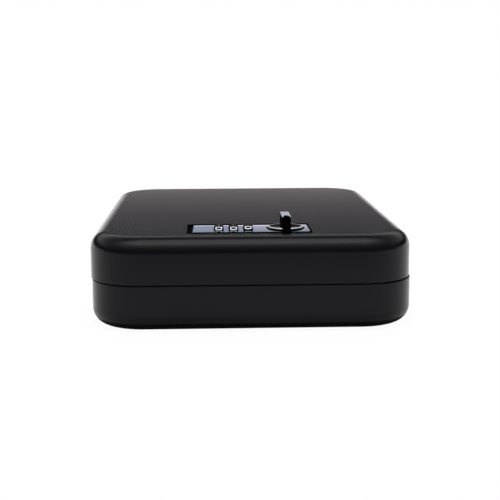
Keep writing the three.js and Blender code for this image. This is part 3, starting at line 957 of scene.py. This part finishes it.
@dataclass
class BaseHalf:
    """The lower pan with its rim band, catch, foam liner, cable entry and anchor."""

    hinges: Hinges
    pan: DrawnPan = field(default_factory=lambda: DrawnPan("base_pan", 0.0, 25.4, True))
    slot_width: float = 9.0
    slot_bottom: float = 16.4
    slot_top: float = 30.0
    slot_reach: Pair = (116.0, 125.0)
    foam_low: Point = (-80.6, -110.6, 1.4)
    foam_high: Point = (80.6, 110.6, 5.4)
    foam_corner: float = 20.6
    anchor: Pair = (0.0, 95.0)
    anchor_hole: float = 3.3
    # Radius and height along the anchor post, with the middle and radius of its head's two arcs
    post_stem: tuple[Pair, ...] = ((0, 1.4), (3, 1.4), (3, 16.6), (3.4, 17.0))
    post_under: tuple[Pair, float] = ((4.4, 17.6), 0.6)
    post_over: tuple[Pair, float] = ((4.2, 18.2), 0.8)
    post_top: float = 19.0
    rivets: Pair = (13.4, 25.4)
    rivet_height: float = 21.0
    rivet_shank: float = 1.5
    rivet_head: float = 2.8
    rivet_rise: float = 1.2
    rivet_dome: float = 1.0

    def shell(self) -> None:
        """Draws the pan and cuts its hinge notches and cable slot."""
        pan = self.pan.draw()
        self.hinges.cut_notches(pan)
        half = self.slot_width / 2
        inner, outer = self.slot_reach
        slot = block("slot", (-half, inner, self.slot_bottom), (half, outer, self.slot_top))
        at_bottom = at_level(self.slot_bottom)
        round_edges(slot, half - 0.02, 10, lambda edge: edge_along_y(edge) and at_bottom(edge))
        combine(pan, slot, Join.CUT)
        fit(self.pan.finish(pan), "base", "black_powder_coat", "base_shell")

    def liner(self) -> None:
        """Cuts the foam liner, with its soft rim, and a hole round the anchor."""
        foam = foam_sheet("base_foam_pad", self.foam_low, self.foam_high, self.foam_corner, True)
        middle = (*self.anchor, self.foam_low[2])
        combine(foam, rod("hole", self.anchor_hole, 20, middle, Axis.Z, 40), Join.CUT)
        smooth(foam, 40)
        fit(foam, "base", "black_foam", "base_foam_liner")

    def fittings(self) -> None:
        """Makes the band, catch, rivets, grommet and anchor post."""
        parts = {
            "base_rim_band": ("rim_band", "black_powder_coat", 0.2, 2),
            "catch_bracket": ("catch_angle", "zinc_steel", 0.3, 3),
            "cable_grommet": ("entry_grommet", "black_rubber", 0.15, 2),
        }
        for node, (name, slot, edge, segments) in parts.items():
            fit(refined(node, name, edge, segments), "base", slot, node)
        for number, x in enumerate(self.rivets, 1):
            node = f"catch_rivet_{number}"
            low, high = (corner.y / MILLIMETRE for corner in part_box(node))
            seat = high - self.rivet_rise
            profile = [
                (0, low),
                (self.rivet_shank, low),
                (self.rivet_shank, seat),
                (self.rivet_head, seat),
                *reversed(dome(self.rivet_head, high - self.rivet_dome, high)),
                (0, high),
            ]
            place = (x, 0, self.rivet_height)
            rivet = turned(f"catch_rivet_head_{number}", profile, place, Axis.Y, 40)
            fit(smooth(rivet), "base", "zinc_steel", node)
        profile = [
            *self.post_stem,
            *arc(*self.post_under, -90, 0, 4),
            *arc(*self.post_over, 0, 90, 5),
            (0, self.post_top),
        ]
        post = turned("anchor_post", profile, (*self.anchor, 0))
        fit(smooth(post), "base", "zinc_steel", "cable_anchor_post")

    def build(self) -> None:
        """Makes every piece of the base."""
        self.shell()
        self.liner()
        self.fittings()


def foam_sheet(
    name: str, low: Sequence[float], high: Sequence[float], corner: float, up: bool
) -> Piece:
    """Makes a foam sheet with round corners, a soft rim and a slightly crowned face.

    Args:
        name: The piece's name.
        low: Its lowest corner.
        high: Its highest corner.
        corner: The radius of its corners.
        up: Whether the free face looks up.

    Returns:
        The sheet.
    """
    sign = 1 if up else -1
    steps = ((3.0, 0.2), (5.0, 0.15), (8.0, 0.15))
    rise = sum(lift for _, lift in steps)
    free = (high[2] - rise) if up else (low[2] + rise)
    bottom = (low[0], low[1], low[2] if up else free)
    top = (high[0], high[1], free if up else high[2])
    foam = block(name, bottom, top)
    round_edges(foam, corner, 12, upright)
    round_edges(foam, 1.2, 4, at_level(free))
    with editing(foam):
        pick(foam, Element.FACE, flat_at(free, up))
        for inset, lift in steps:
            bpy.ops.mesh.inset(thickness=mm(inset), depth=0.0)
            bpy.ops.transform.translate(value=(0, 0, sign * mm(lift)))
    return foam


@dataclass
class LidHalf:
    """The upper pan with the lock's opening, its welded studs and nuts, and its liner."""

    hinges: Hinges
    pan: DrawnPan = field(default_factory=lambda: DrawnPan("lid_pan", 26.1, 52.0, False, -0.5))
    opening_low: Point = (-36.3, -104.9, 48.0)
    opening_high: Point = (33.5, -69.5, 55.0)
    opening_corner: float = 1.5
    opening_lip: float = 0.3
    upright_below: float = 0.9
    foam_low: Point = (-81.1, -58.0, 46.6)
    foam_high: Point = (80.1, 110.6, 50.6)
    foam_corner: float = 20.6
    stud_radius: float = 1.5
    stud_foot: float = 45.8
    stud_top: float = 51.4
    stud_lead: float = 0.3
    thread_pitch: float = 0.5
    thread_depth: float = 0.14

    def shell(self) -> None:
        """Draws the lid, cuts its notches and the lock's opening, and paints shade on the
        opening's cut edge.
        """
        pan = self.pan.draw()
        self.hinges.cut_notches(pan, self.hinges.play)
        opening = block("opening", self.opening_low, self.opening_high)
        round_edges(opening, self.opening_corner, 5, upright)
        combine(pan, opening, Join.CUT)
        self.pan.finish(pan)
        lip = mm(*[self.opening_lip] * 3)
        low, high = mm(*self.opening_low) - lip, mm(*self.opening_high) + lip

        def cut(face: bpy.types.MeshPolygon) -> bool:
            """Says whether a face is part of the opening's cut edge, which gets painted shade."""
            spot = face.center
            inside = low.x < spot.x < high.x and low.y < spot.y < high.y and spot.z > low.z
            return inside and abs(face.normal.z) < self.upright_below

        # Painted shade: the opening's cut edge takes the near-black shadow_gap finish, as if in
        # shadow
        paint(pan, ("black_powder_coat", "shadow_gap"), cut)
        fit(pan, "lid", "black_powder_coat", "lid_shell")

    def studs(self) -> None:
        """Turns the four welded studs, with rolled threads, and refines their nuts."""
        radius, foot, top, lead = self.stud_radius, self.stud_foot, self.stud_top, self.stud_lead
        pitch, root = self.thread_pitch, radius - self.thread_depth
        profile = [(0.0, foot), (radius - lead, foot)]
        for ring in range(int((top - foot - 2 * lead) / pitch)):
            height = foot + lead + ring * pitch
            profile += [(root, height), (radius, height + pitch / 2)]
        profile += [(radius, top), (0.0, top)]
        places = [(*middle_of(f"lock_nut_{number}").xy, 0) for number in range(1, 5)]
        pieces = [turned("stud", profile, place, Axis.Z, 24) for place in places]
        studs = smooth(joined("weld_studs", pieces))
        fit(studs, "lid", "zinc_steel", "lid_shell")
        for number in range(1, 5):
            nut = refined(f"lock_nut_{number}", f"hex_nut_{number}", 0.25, 3)
            fit(nut, "lid", "zinc_steel", f"lock_nut_{number}")

    def liner(self) -> None:
        """Cuts the foam liner behind the lock."""
        foam = foam_sheet("lid_foam_pad", self.foam_low, self.foam_high, self.foam_corner, False)
        smooth(foam, 40)
        fit(foam, "lid", "black_foam", "lid_foam_liner")

    def build(self) -> None:
        """Makes every piece of the lid but the lock."""
        self.shell()
        self.studs()
        self.liner()


def figure_paths() -> dict[int, list[tuple[list[Pair], bool]]]:
    """Gives each figure's strokes in a square from -1 to 1, and whether each is closed."""
    ring = ([(-1, -1), (1, -1), (1, 1), (-1, 1)], True)
    return {
        0: [ring],
        1: [([(-0.5, 0.55), (0.1, 1), (0.1, -1)], False)],
        2: [([(-1, 0.5), (-1, 1), (1, 1), (1, 0.05), (-1, -0.3), (-1, -1), (1, -1)], False)],
        3: [
            ([(-1, 1), (1, 1), (1, 0.02), (-0.3, 0.02)], False),
            ([(-0.3, 0.02), (1, 0.02), (1, -1), (-1, -1)], False),
        ],
        4: [([(0.1, 1), (-1, -0.4), (1, -0.4)], False), ([(0.5, 0.1), (0.5, -1)], False)],
        5: [([(1, 1), (-1, 1), (-1, 0.1), (1, 0.1), (1, -1), (-1, -1)], False)],
        6: [([(1, 1), (-1, 1), (-1, -1), (1, -1), (1, 0.1), (-0.9, 0.1)], False)],
        7: [([(-1, 1), (1, 1), (-0.2, -1)], False)],
        8: [ring, ([(-1, 0.02), (1, 0.02)], False)],
        9: [([(-1, -1), (1, -1), (1, 1), (-1, 1), (-1, -0.1), (0.9, -0.1)], False)],
    }


def soften(
    points: Sequence[Pair], closed: bool, reach: float, steps: int = 5
) -> list[Vector]:
    """Rounds the corners of a stroke.

    Args:
        points: The stroke's corners.
        closed: Whether its end meets its start.
        reach: How far from a corner the curve starts.
        steps: The number of parts of each curve.

    Returns:
        The points of the rounded stroke.
    """
    corners = [Vector((*p, 0)) for p in points]
    count = len(corners)
    line: list[Vector] = []
    for i, corner in enumerate(corners):
        if not closed and i in (0, count - 1):
            line.append(corner)
            continue
        arms = []
        for other in (corners[i - 1], corners[(i + 1) % count]):
            arm = other - corner
            arms.append(corner + arm.normalized() * min(reach, arm.length / 2))
        for step in range(steps + 1):
            t = step / steps
            line.append(arms[0] * (1 - t) ** 2 + corner * 2 * t * (1 - t) + arms[1] * t**2)
    return line


@dataclass
class NumberDials:
    """Three dials on one shaft: black wheels with lands, and white figures on them."""

    axis_y: float = -89.5
    axis_z: float = 45.4
    radius: float = 9.0
    width: float = 5.0
    bore: float = 1.7
    lands: int = 10
    groove: float = 0.5
    groove_half: float = 4.0
    tilt: float = 29.6
    rests: Point = (0.0, 0.0, -3.9)
    figure_half_width: float = 1.6
    figure_half_height: float = 1.15
    figure_corner: float = 0.62
    figure_rise: float = 0.16
    stroke: float = 0.54
    hub_inset: float = 1.5
    hub_depth: float = 0.35
    sides: int = 180

    def wheel(self, number: int, x: float) -> Piece:
        """Models one wheel about the shaft, then turns it to the figure that shows.

        Args:
            number: The dial's number, from 1.
            x: Its place along the shaft.

        Returns:
            The wheel.
        """
        wheel = rod(f"dial_wheel_{number}", self.radius, self.width, (0, 0, 0), Axis.X, self.sides)
        step = 360 / self.lands

        def from_groove(vert: bmesh.types.BMVert) -> float:
            """Gives how far round the rim a point is from the nearest groove, in degrees."""
            angle = math.degrees(math.atan2(-vert.co.y, vert.co.z))
            return abs((angle + step) % step - step / 2)

        factor = 1 - self.groove * 0.5 / self.radius
        with editing(wheel):
            for share in (1, 0.5):
                reach = self.groove_half * share
                pick(wheel, Element.VERT, lambda v, r=reach: from_groove(v) < r - 0.01)
                bpy.ops.transform.resize(value=(1, factor, factor), center_override=(0, 0, 0))
            pick(wheel, Element.FACE, lambda face: abs(face.normal.x) > 0.99)
            bpy.ops.mesh.inset(thickness=mm(self.hub_inset), depth=-mm(self.hub_depth))
        bore = rod("bore", self.bore, self.width + 4, (0, 0, 0), Axis.X, 40)
        combine(wheel, bore, Join.CUT)
        break_edges(wheel, 0.25, 3, 50)
        return self.turn_to(wheel, number, x)

    def turn_to(self, piece: Piece, number: int, x: float) -> Piece:
        """Turns a piece about the shaft line to its dial's rest, and puts it in place.

        Args:
            piece: The piece, still about the origin.
            number: The dial's number, from 1.
            x: Its place along the shaft.

        Returns:
            The piece.
        """
        piece.rotation_euler = (math.radians(self.tilt + self.rests[number - 1]), 0, 0)
        piece.location = mm(x, self.axis_y, self.axis_z)
        return settle(piece)

    def figure(self, value: int) -> Piece:
        """Draws one figure's strokes flat and makes them a mesh.

        Args:
            value: The figure, from 0 to 9.

        Returns:
            The strokes, about the origin.
        """
        data = bpy.data.curves.new("figure", "CURVE")
        data.dimensions = "3D"
        data.bevel_depth = mm(self.stroke / 2)
        data.bevel_resolution = 1
        data.use_fill_caps = True
        for points, closed in figure_paths()[value]:
            line = soften(points, closed, self.figure_corner)
            spline = data.splines.new("POLY")
            spline.points.add(len(line) - 1)
            spline.use_cyclic_u = closed
            for point, spot in zip(spline.points, line):
                u, v = spot.x * self.figure_half_width, spot.y * self.figure_half_height
                point.co = (*mm(u, v, 0), 1)
        piece = only(placed("figure", data))
        bpy.ops.object.convert(target="MESH")
        return piece

    def figures(self, number: int, x: float) -> Piece:
        """Wraps the ten figures round a dial's rim, each a flat fill a hair proud of it.

        Args:
            number: The dial's number, from 1.
            x: Its place along the shaft.

        Returns:
            The figures as one piece.
        """
        pieces = []
        for value in range(self.lands):
            flat = self.figure(value)
            start = -2 * math.pi * value / self.lands
            for vert in flat.data.vertices:
                across, along, height = vert.co
                angle = start - along / mm(self.radius)
                radius = mm(self.radius) + height * self.figure_rise
                vert.co = (across, -radius * math.sin(angle), radius * math.cos(angle))
            pieces.append(flat)
        ring = joined(f"dial_figures_{number}", pieces)
        with editing(ring):
            bpy.ops.mesh.normals_make_consistent(inside=False)
        return self.turn_to(smooth(ring, 60), number, x)

    def build(self) -> None:
        """Makes the three dials and fits each to its body."""
        for number in (1, 2, 3):
            node = f"number_wheel_{number}"
            x = middle_of(node).x
            fit(self.wheel(number, x), f"dial_{number}", "black_dial", node)
            ring = self.figures(number, x)
            ring.data.materials.append(material("figure_white"))
            fit(ring, f"dial_{number}", "black_dial", node)


@dataclass
class FacePlate:
    """The bright plate of the lock, with three windows and the spindle's hole."""

    knob_centre: Pair
    low: Point = (-33.0, -101.45, 51.0)
    high: Point = (32.4, -75.0, 52.2)
    corner: float = 1.6
    crown_start: float = -78.4
    crown_drop: float = 0.2
    side_cut: float = 0.45
    window_half: float = 2.8
    window_front: float = -96.85
    window_back: float = -82.15
    window_corner: float = 0.5
    cutter_low: float = 48.0
    cutter_high: float = 55.0
    # The part of Z in a level face's normal, and of X in that of a face that looks left; faces
    # that are neither get painted shade
    level: float = 0.95
    leftward: float = 0.5
    hole: float = 10.9
    edge: float = 0.12

    def crowned(self) -> Piece:
        """Makes the plate's blank, which falls a little to its rear edge.

        Returns:
            The blank.
        """
        plate = block("lock_plate", self.low, self.high)
        left, rear, top = mm(self.low[0]), mm(self.high[1]), mm(self.high[2])
        near_top = top - mm(2 * self.crown_drop)

        def top_rear(vert: bmesh.types.BMVert) -> bool:
            """Says whether a point lies along the rear of the plate's top."""
            return abs(vert.co.z - top) < TINY and abs(vert.co.y - rear) < TINY

        with editing(plate):
            bpy.ops.mesh.bisect(plane_co=mm(0, self.crown_start, 0), plane_no=(0, 1, 0))
            pick(plate, Element.VERT, top_rear)
            bpy.ops.transform.translate(value=(0, 0, -mm(self.crown_drop)))
        round_edges(plate, self.corner, 6, upright)

        def top_left(edge: bmesh.types.BMEdge) -> bool:
            """Says whether an edge lies along the left of the plate's top."""
            return all(v.co.z > near_top and abs(v.co.x - left) < TINY for v in edge.verts)

        round_edges(plate, self.side_cut, 1, top_left)
        return plate

    def build(self) -> Piece:
        """Cuts the plate's windows and its hole, rounds its edges, and paints shade on its cut
        edges.

        Returns:
            The plate.
        """
        plate = self.crowned()
        for number in (1, 2, 3):
            x = middle_of(f"number_wheel_{number}").x
            low = (x - self.window_half, self.window_front, self.cutter_low)
            high = (x + self.window_half, self.window_back, self.cutter_high)
            window = block("window", low, high)
            round_edges(window, self.window_corner, 4, upright)
            combine(plate, window, Join.CUT)
        middle = (*self.knob_centre, self.high[2])
        combine(plate, rod("hole", self.hole, 10, middle, Axis.Z), Join.CUT)
        break_edges(plate, self.edge, 2, 50)

        def cut(face: bpy.types.MeshPolygon) -> bool:
            """Says whether a face is a cut edge with painted shade; those that look left stay
            bright and catch the light.
            """
            return face.normal.z < self.level and face.normal.x > -self.leftward

        # Painted shade: the plate's cut edges, all but the left one, take the near-black
        # shadow_gap finish
        paint(plate, ("bright_plate", "shadow_gap"), cut)
        return fit(plate, "lid", "bright_plate", "lock_face_plate")


@dataclass
class TurnKnob:
    """The knob: a disc with a polished dish, and a black blade with a bright cut top."""

    centre: Pair = (19.4, -87.2)
    under: float = 51.1
    radius: float = 10.4
    flange_top: float = 52.3
    rim_low: Pair = (9.95, 52.93)
    rim_high: Pair = (9.6, 53.22)
    edge: float = 0.2
    dish_radius: float = 9.55
    dish_depth: float = 0.35
    dish_steps: int = 20
    lacquer_radius: float = 9.3
    blade_width: float = 5.0
    blade_length: float = 20.4
    blade_top: float = 60.0
    blade_edge: float = 0.3
    blade_corner: float = 0.35
    mark_half_width: float = 1.8
    mark_length: float = 5.4
    mark_depth: float = 0.4
    # How far above the rim the disc's faces are looked for, and how far below
    search_up: float = 0.1
    search_down: float = 0.5
    # The part of Z in a face's normal from which it leans up, and from which it lies flat
    leaning: float = 0.3
    flat: float = 0.9

    def disc(self) -> Piece:
        """Turns the disc: a flange, a bright cut rim, and a shallow dish in its top.

        Returns:
            The disc.
        """
        under, radius, edge = self.under, self.radius, self.edge
        top, inner = self.rim_high[1], self.dish_radius
        reaches = [inner * (1 - i / self.dish_steps) for i in range(self.dish_steps + 1)]
        profile = [
            (0, under),
            *arc((radius - edge, under + edge), edge, -90, 0, 3),
            (radius, self.flange_top),
            self.rim_low,
            self.rim_high,
            *[(r, top - self.dish_depth * (1 - (r / inner) ** 2)) for r in reaches],
        ]
        return turned("turn_knob", profile, (*self.centre, 0), Axis.Z, 128)

    def blade(self) -> Piece:
        """Bevels the blade and sinks the pointer mark into the front of its top.

        Returns:
            The blade.
        """
        x, y = self.centre
        half, reach = self.blade_width / 2, self.blade_length / 2
        blade = block(
            "blade",
            (x - half, y - reach, self.under + 0.2),
            (x + half, y + reach, self.blade_top),
        )
        round_edges(blade, self.blade_corner, 4, upright)
        round_edges(blade, self.blade_edge, 3, at_level(self.blade_top))
        place = (x, y - reach, self.blade_top)
        mark = rod("mark", self.mark_half_width, 2 * self.mark_depth, place, Axis.Z)
        with editing(mark):
            stretch = (1, self.mark_length / self.mark_half_width, 1)
            bpy.ops.transform.resize(value=stretch, center_override=mm(*place))
        combine(blade, mark, Join.CUT)
        return blade

    def finish_of(self, face: bpy.types.MeshPolygon) -> int:
        """Says which finish a face has.

        Args:
            face: A face of the joined knob.

        Returns:
            0 for black, 1 for the blade's cut top, 2 for the rim and 3 for the dish.
        """
        height, up = face.center.z / MILLIMETRE, face.normal.z
        away = (face.center - mm(*self.centre, 0)).xy.length / MILLIMETRE
        (outer, low), (inner, high) = self.rim_low, self.rim_high
        if up > self.leaning and height > self.blade_top - self.blade_edge:
            return 1
        if not low - self.search_down <= height <= high + self.search_up:
            return 0
        if inner < away < outer and self.leaning < up < self.flat:
            return 2
        if away > inner or up < self.flat:
            return 0
        return 2 if away > self.lacquer_radius else 3

    def build(self) -> None:
        """Joins the disc and the blade, and dresses their four finishes."""
        knob = smooth(joined("turn_knob", [self.disc(), self.blade()]), 30)
        slots = ("black_gloss_zinc", "cut_face", "cut_rim", "black_lacquer")
        paint(knob, slots, self.finish_of)
        fit(knob, "knob_group", "black_gloss_zinc", "knob")


@dataclass
class LockWorks:
    """What holds and works the lock behind its plate, seen when the lid is open."""

    knob_centre: Pair
    cover_screw: PanScrew = PanScrew(31.8, 2.0, 1.2, 1.0, 41.7)
    cam_screw: PanScrew = PanScrew(28.1, 3.4, 1.6, 1.25, 34.3)
    # Above this height the works' faces get painted shade
    shade_painted_above: float = 50.0

    def build(self) -> None:
        """Refines the housing, cover, cam and lever, paints shade on their faces above the gap's
        floor, and turns the screws.
        """
        works = {
            "lock_housing": ("housing", "lid", "black_cast_zinc", 0.3),
            "lock_back_cover": ("back_cover", "lid", "black_cast_zinc", 0.3),
            "latch_cam": ("swing_cam", "knob_group", "zinc_steel", 0.25),
            "reset_lever": ("code_thumb_lever", "code_lever", "zinc_steel", 0.2),
        }
        for node, (name, body, slot, edge) in works.items():
            piece = refined(node, name, edge, 3)
            # Painted shade: faces above the gap's floor take the near-black shadow_gap finish, as
            # the gap round the plate is in shadow
            paint(piece, (slot, "shadow_gap"), lambda face: face.center.z > mm(self.shade_painted_above))
            fit(piece, body, slot, node)
        for number in range(1, 5):
            node = f"cover_screw_{number}"
            screw = self.cover_screw.build(f"housing_screw_{number}", middle_of(node).xy)
            fit(screw, "lid", "zinc_steel", node)
        screw = self.cam_screw.build("spindle_screw", self.knob_centre)
        fit(screw, "knob_group", "zinc_steel", "cam_screw")


@dataclass
class Studio:
    """The white floor, the room's light, and a camera where the photographer stood."""

    eye: Point = (-22.8, -683.8, 143.3)
    pitch: float = 0.1721
    yaw: float = 0.037
    roll: float = 0.0038
    lens: float = 76.64
    sensor: float = 36.0
    clip: Pair = (0.02, 100.0)
    floor_size: float = 40.0
    floor_gap: float = 0.05
    fill: float = 1.8
    fill_spread: float = 40.0
    fill_lean: float = 35.0
    # The paper as the camera and as gloss sees it, and the painted shade that darkens its colour
    # by the distance from the camera
    paper: float = 0.96
    paper_mirrored: float = 0.05
    paper_shaded_near: str = "909090"
    paper_far: str = "e6e6e6"
    shade_start: float = -260.0
    shade_end: float = -500.0
    # The painted contact shadow: its colour, the reach and power of its occlusion, and its samples
    contact_shade_colour: str = "080808"
    contact_reach: float = 4.4
    contact_depth: float = 5.0
    contact_samples: int = 8
    card_place: Point = (0.0, 300.0, 42.5)
    card_size: Pair = (2400.0, 75.0)
    card_level: float = 0.41
    card_tint: Point = (1.0, 0.86, 0.91)
    # What the plate alone mirrors: place, size and brightness of each card, cool or warm
    plate_cards: tuple[tuple[Point, Pair, float, bool], ...] = (
        ((15.0, 300.0, 100.0), (300.0, 36.0), 0.8, False),
        ((115.0, 299.0, 98.0), (200.0, 27.0), 0.45, True),
        ((15.0, 298.0, 66.0), (300.0, 50.0), 0.65, True),
    )
    warm: Point = (1.0, 0.8, 0.4)
    # The room's brightness by the sine of the height, behind the safe and before it
    behind: tuple[Pair, ...] = (
        (0.0, 1.0), (0.06, 1.0), (0.08, 0.0), (0.26, 0.0), (0.42, 1.0),
        (0.64, 0.58), (0.85, 0.27), (0.95, 0.08), (1.0, 3.2),
    )
    before: tuple[Pair, ...] = (
        (0.0, 0.05), (0.5, 0.4), (0.7, 0.95), (0.85, 2.2), (0.95, 5.0), (1.0, 3.3),
    )
    # Where the one turns into the other, by the sine of the angle to the side
    blend: float = 0.25

    def camera(self) -> None:
        """Points the camera by its pitch, yaw and roll."""
        yaw, pitch, roll = self.yaw, self.pitch, self.roll
        flat = Vector((math.cos(yaw), -math.sin(yaw), 0))
        level = math.cos(pitch)
        ahead = Vector((math.sin(yaw) * level, math.cos(yaw) * level, -math.sin(pitch)))
        above = flat.cross(ahead)
        across = flat * math.cos(roll) - above * math.sin(roll)
        up = flat * math.sin(roll) + above * math.cos(roll)
        data = bpy.data.cameras.new("camera")
        data.lens, data.sensor_width = self.lens, self.sensor
        data.clip_start, data.clip_end = self.clip
        camera = placed("camera", data)
        turn = Matrix((across, up, -ahead)).transposed()
        camera.matrix_world = Matrix.Translation(mm(*self.eye)) @ turn.to_4x4()
        bpy.context.scene.camera = camera

    def floor(self) -> None:
        """Lays the floor a hair under the object, as white paper with a soft shadow, partly cast
        by the lamps and partly painted shade.
        """
        place = (0, 0, -mm(self.floor_gap))
        bpy.ops.mesh.primitive_plane_add(size=self.floor_size, location=place)
        floor = bpy.context.active_object
        floor.name = "floor"
        paper = bpy.data.materials.new("white_floor")
        tree = bare_tree(paper)
        matt = add_node(tree, "BsdfDiffuse", links={"Color": self.paper_colour(tree)})
        white = add_node(tree, "Emission")
        path = add_node(tree, "LightPath").outputs
        rays = {0: path["Is Glossy Ray"], 1: path["Is Transmission Ray"]}
        mirrored = add_node(tree, "Math", {"operation": "ADD"}, rays)
        dimmed = {0: mirrored.outputs[0], 1: self.paper_mirrored}
        low = add_node(tree, "Math", {"operation": "MULTIPLY"}, dimmed)
        seen = {0: path["Is Camera Ray"], 1: self.paper, 2: low.outputs[0]}
        share = add_node(tree, "Math", {"operation": "MULTIPLY_ADD", "use_clamp": True}, seen)
        shaders = {0: share.outputs[0], 1: matt.outputs[0], 2: white.outputs[0]}
        mix = add_node(tree, "MixShader", links=shaders)
        add_node(tree, "OutputMaterial", links={"Surface": mix.outputs[0]})
        floor.data.materials.append(paper)

    def paper_colour(self, tree: Tree) -> Socket:
        """Paints shade into the paper's colour towards the camera, as the walls mirror it, and a
        contact shadow close to the safe.

        Args:
            tree: The floor's nodes.

        Returns:
            The colour.
        """
        place = add_node(tree, "TexCoord").outputs["Object"]
        parts = add_node(tree, "SeparateXYZ", links={0: place})
        span = {"From Min": mm(self.shade_end), "From Max": mm(self.shade_start)}
        away = add_node(tree, "MapRange", links={"Value": parts.outputs[1], **span})
        # Painted shade: the paper's colour darkens towards the camera, where the walls mirror it
        ends = {COLOUR_A: linear(self.paper_shaded_near), COLOUR_B: linear(self.paper_far)}
        kind = {"data_type": "RGBA"}
        tone = add_node(tree, "Mix", kind, {"Factor": away.outputs[0], **ends})
        # Painted contact shadow: the colour goes near-black where ambient occlusion finds the safe
        # close
        reach = {"Distance": mm(self.contact_reach)}
        contact = add_node(tree, "AmbientOcclusion", {"samples": self.contact_samples}, reach)
        bare = {0: contact.outputs["AO"], 1: self.contact_depth}
        open_share = add_node(tree, "Math", {"operation": "POWER"}, bare)
        ends = {COLOUR_A: linear(self.contact_shade_colour), COLOUR_B: tone.outputs[COLOUR_OUT]}
        mix = add_node(tree, "Mix", kind, {"Factor": open_share.outputs[0], **ends})
        return mix.outputs[COLOUR_OUT]

    def room(self) -> None:
        """Sets the room's brightness by height, behind the safe and before it."""
        world = bpy.data.worlds.new("room")
        tree = bare_tree(world)
        way = add_node(tree, "TexCoord").outputs["Generated"]
        parts = add_node(tree, "SeparateXYZ", links={0: way})
        span = {"From Min": -self.blend, "From Max": self.blend}
        side = add_node(tree, "MapRange", links={"Value": parts.outputs[1], **span})
        ends: dict[str | int, Any] = {"Factor": side.outputs[0]}
        for end, levels in ((COLOUR_A, self.before), (COLOUR_B, self.behind)):
            ramp = add_node(tree, "ValToRGB", links={0: parts.outputs[2]})
            stops = ramp.color_ramp.elements
            while len(stops) < len(levels):
                stops.new(0.5)
            for stop, (place, level) in zip(stops, levels):
                stop.position = place
                stop.color = (level, level, level, 1)
            ends[end] = ramp.outputs[0]
        both = add_node(tree, "Mix", {"data_type": "RGBA"}, ends)
        back = add_node(tree, "Background", links={0: both.outputs[COLOUR_OUT]})
        add_node(tree, "OutputWorld", links={0: back.outputs[0]})
        bpy.context.scene.world = world

    def light(self) -> None:
        """Hangs an overhead fill and stands a low card behind the safe."""
        data = bpy.data.lights.new("overhead_fill", "SUN")
        data.energy = self.fill
        data.angle = math.radians(self.fill_spread)
        fill = placed("overhead_fill", data)
        fill.rotation_euler = (math.radians(-self.fill_lean), 0, 0)
        fill.visible_glossy = False
        card = self.card("low_card", self.card_place, self.card_size, self.card_level)
        card.data.color = self.card_tint

    def card(self, name: str, place: Point, size: Pair, level: float) -> Piece:
        """Stands a lit card behind the safe, which only gloss shows.

        Args:
            name: Its name.
            place: Its middle.
            size: Its width and height.
            level: Its brightness, where 1 is white.

        Returns:
            The card's lamp.
        """
        data = bpy.data.lights.new(name, "AREA")
        data.shape = "RECTANGLE"
        data.size, data.size_y = (mm(length) for length in size)
        data.energy = level * math.pi * data.size * data.size_y
        card = placed(name, data)
        card.location = mm(*place)
        card.rotation_euler = (-math.pi / 2, 0, 0)
        card.visible_camera = False
        card.visible_diffuse = False
        return card

    def light_plate(self, plate: Piece) -> None:
        """Stands cards where the polished plate mirrors them, for the plate alone.

        Args:
            plate: The plate.
        """
        lit = bpy.data.collections.new("plate_card_lights")
        lit.objects.link(plate)
        for place, size, level, warm in self.plate_cards:
            card = self.card("plate_card", place, size, level)
            card.light_linking.receiver_collection = lit
            if warm:
                card.data.color = self.warm

    def build(self) -> None:
        """Makes the camera, floor and light, and sets how colours are shown."""
        self.camera()
        self.floor()
        self.room()
        self.light()
        bpy.context.scene.view_settings.view_transform = "Standard"


def dress_carried_nodes() -> None:
    """Gives every node of the model its slot's material, shown or not."""
    for row in frame["record"]["subparts"]:
        node = frame["nodes"].get(row["node"])
        if node is None:
            continue
        for slot in node.material_slots:
            slot.material = material(row["material_slot"])


def main() -> None:
    studio = Studio()
    studio.build()
    hinges = Hinges()
    knob = TurnKnob()
    BaseHalf(hinges).build()
    LidHalf(hinges).build()
    hinges.build()
    studio.light_plate(FacePlate(knob.centre).build())
    NumberDials().build()
    knob.build()
    LockWorks(knob.centre).build()
    dress_carried_nodes()


if __name__ == "__main__":
    logging.basicConfig(level=logging.INFO, format="%(message)s")
    main()
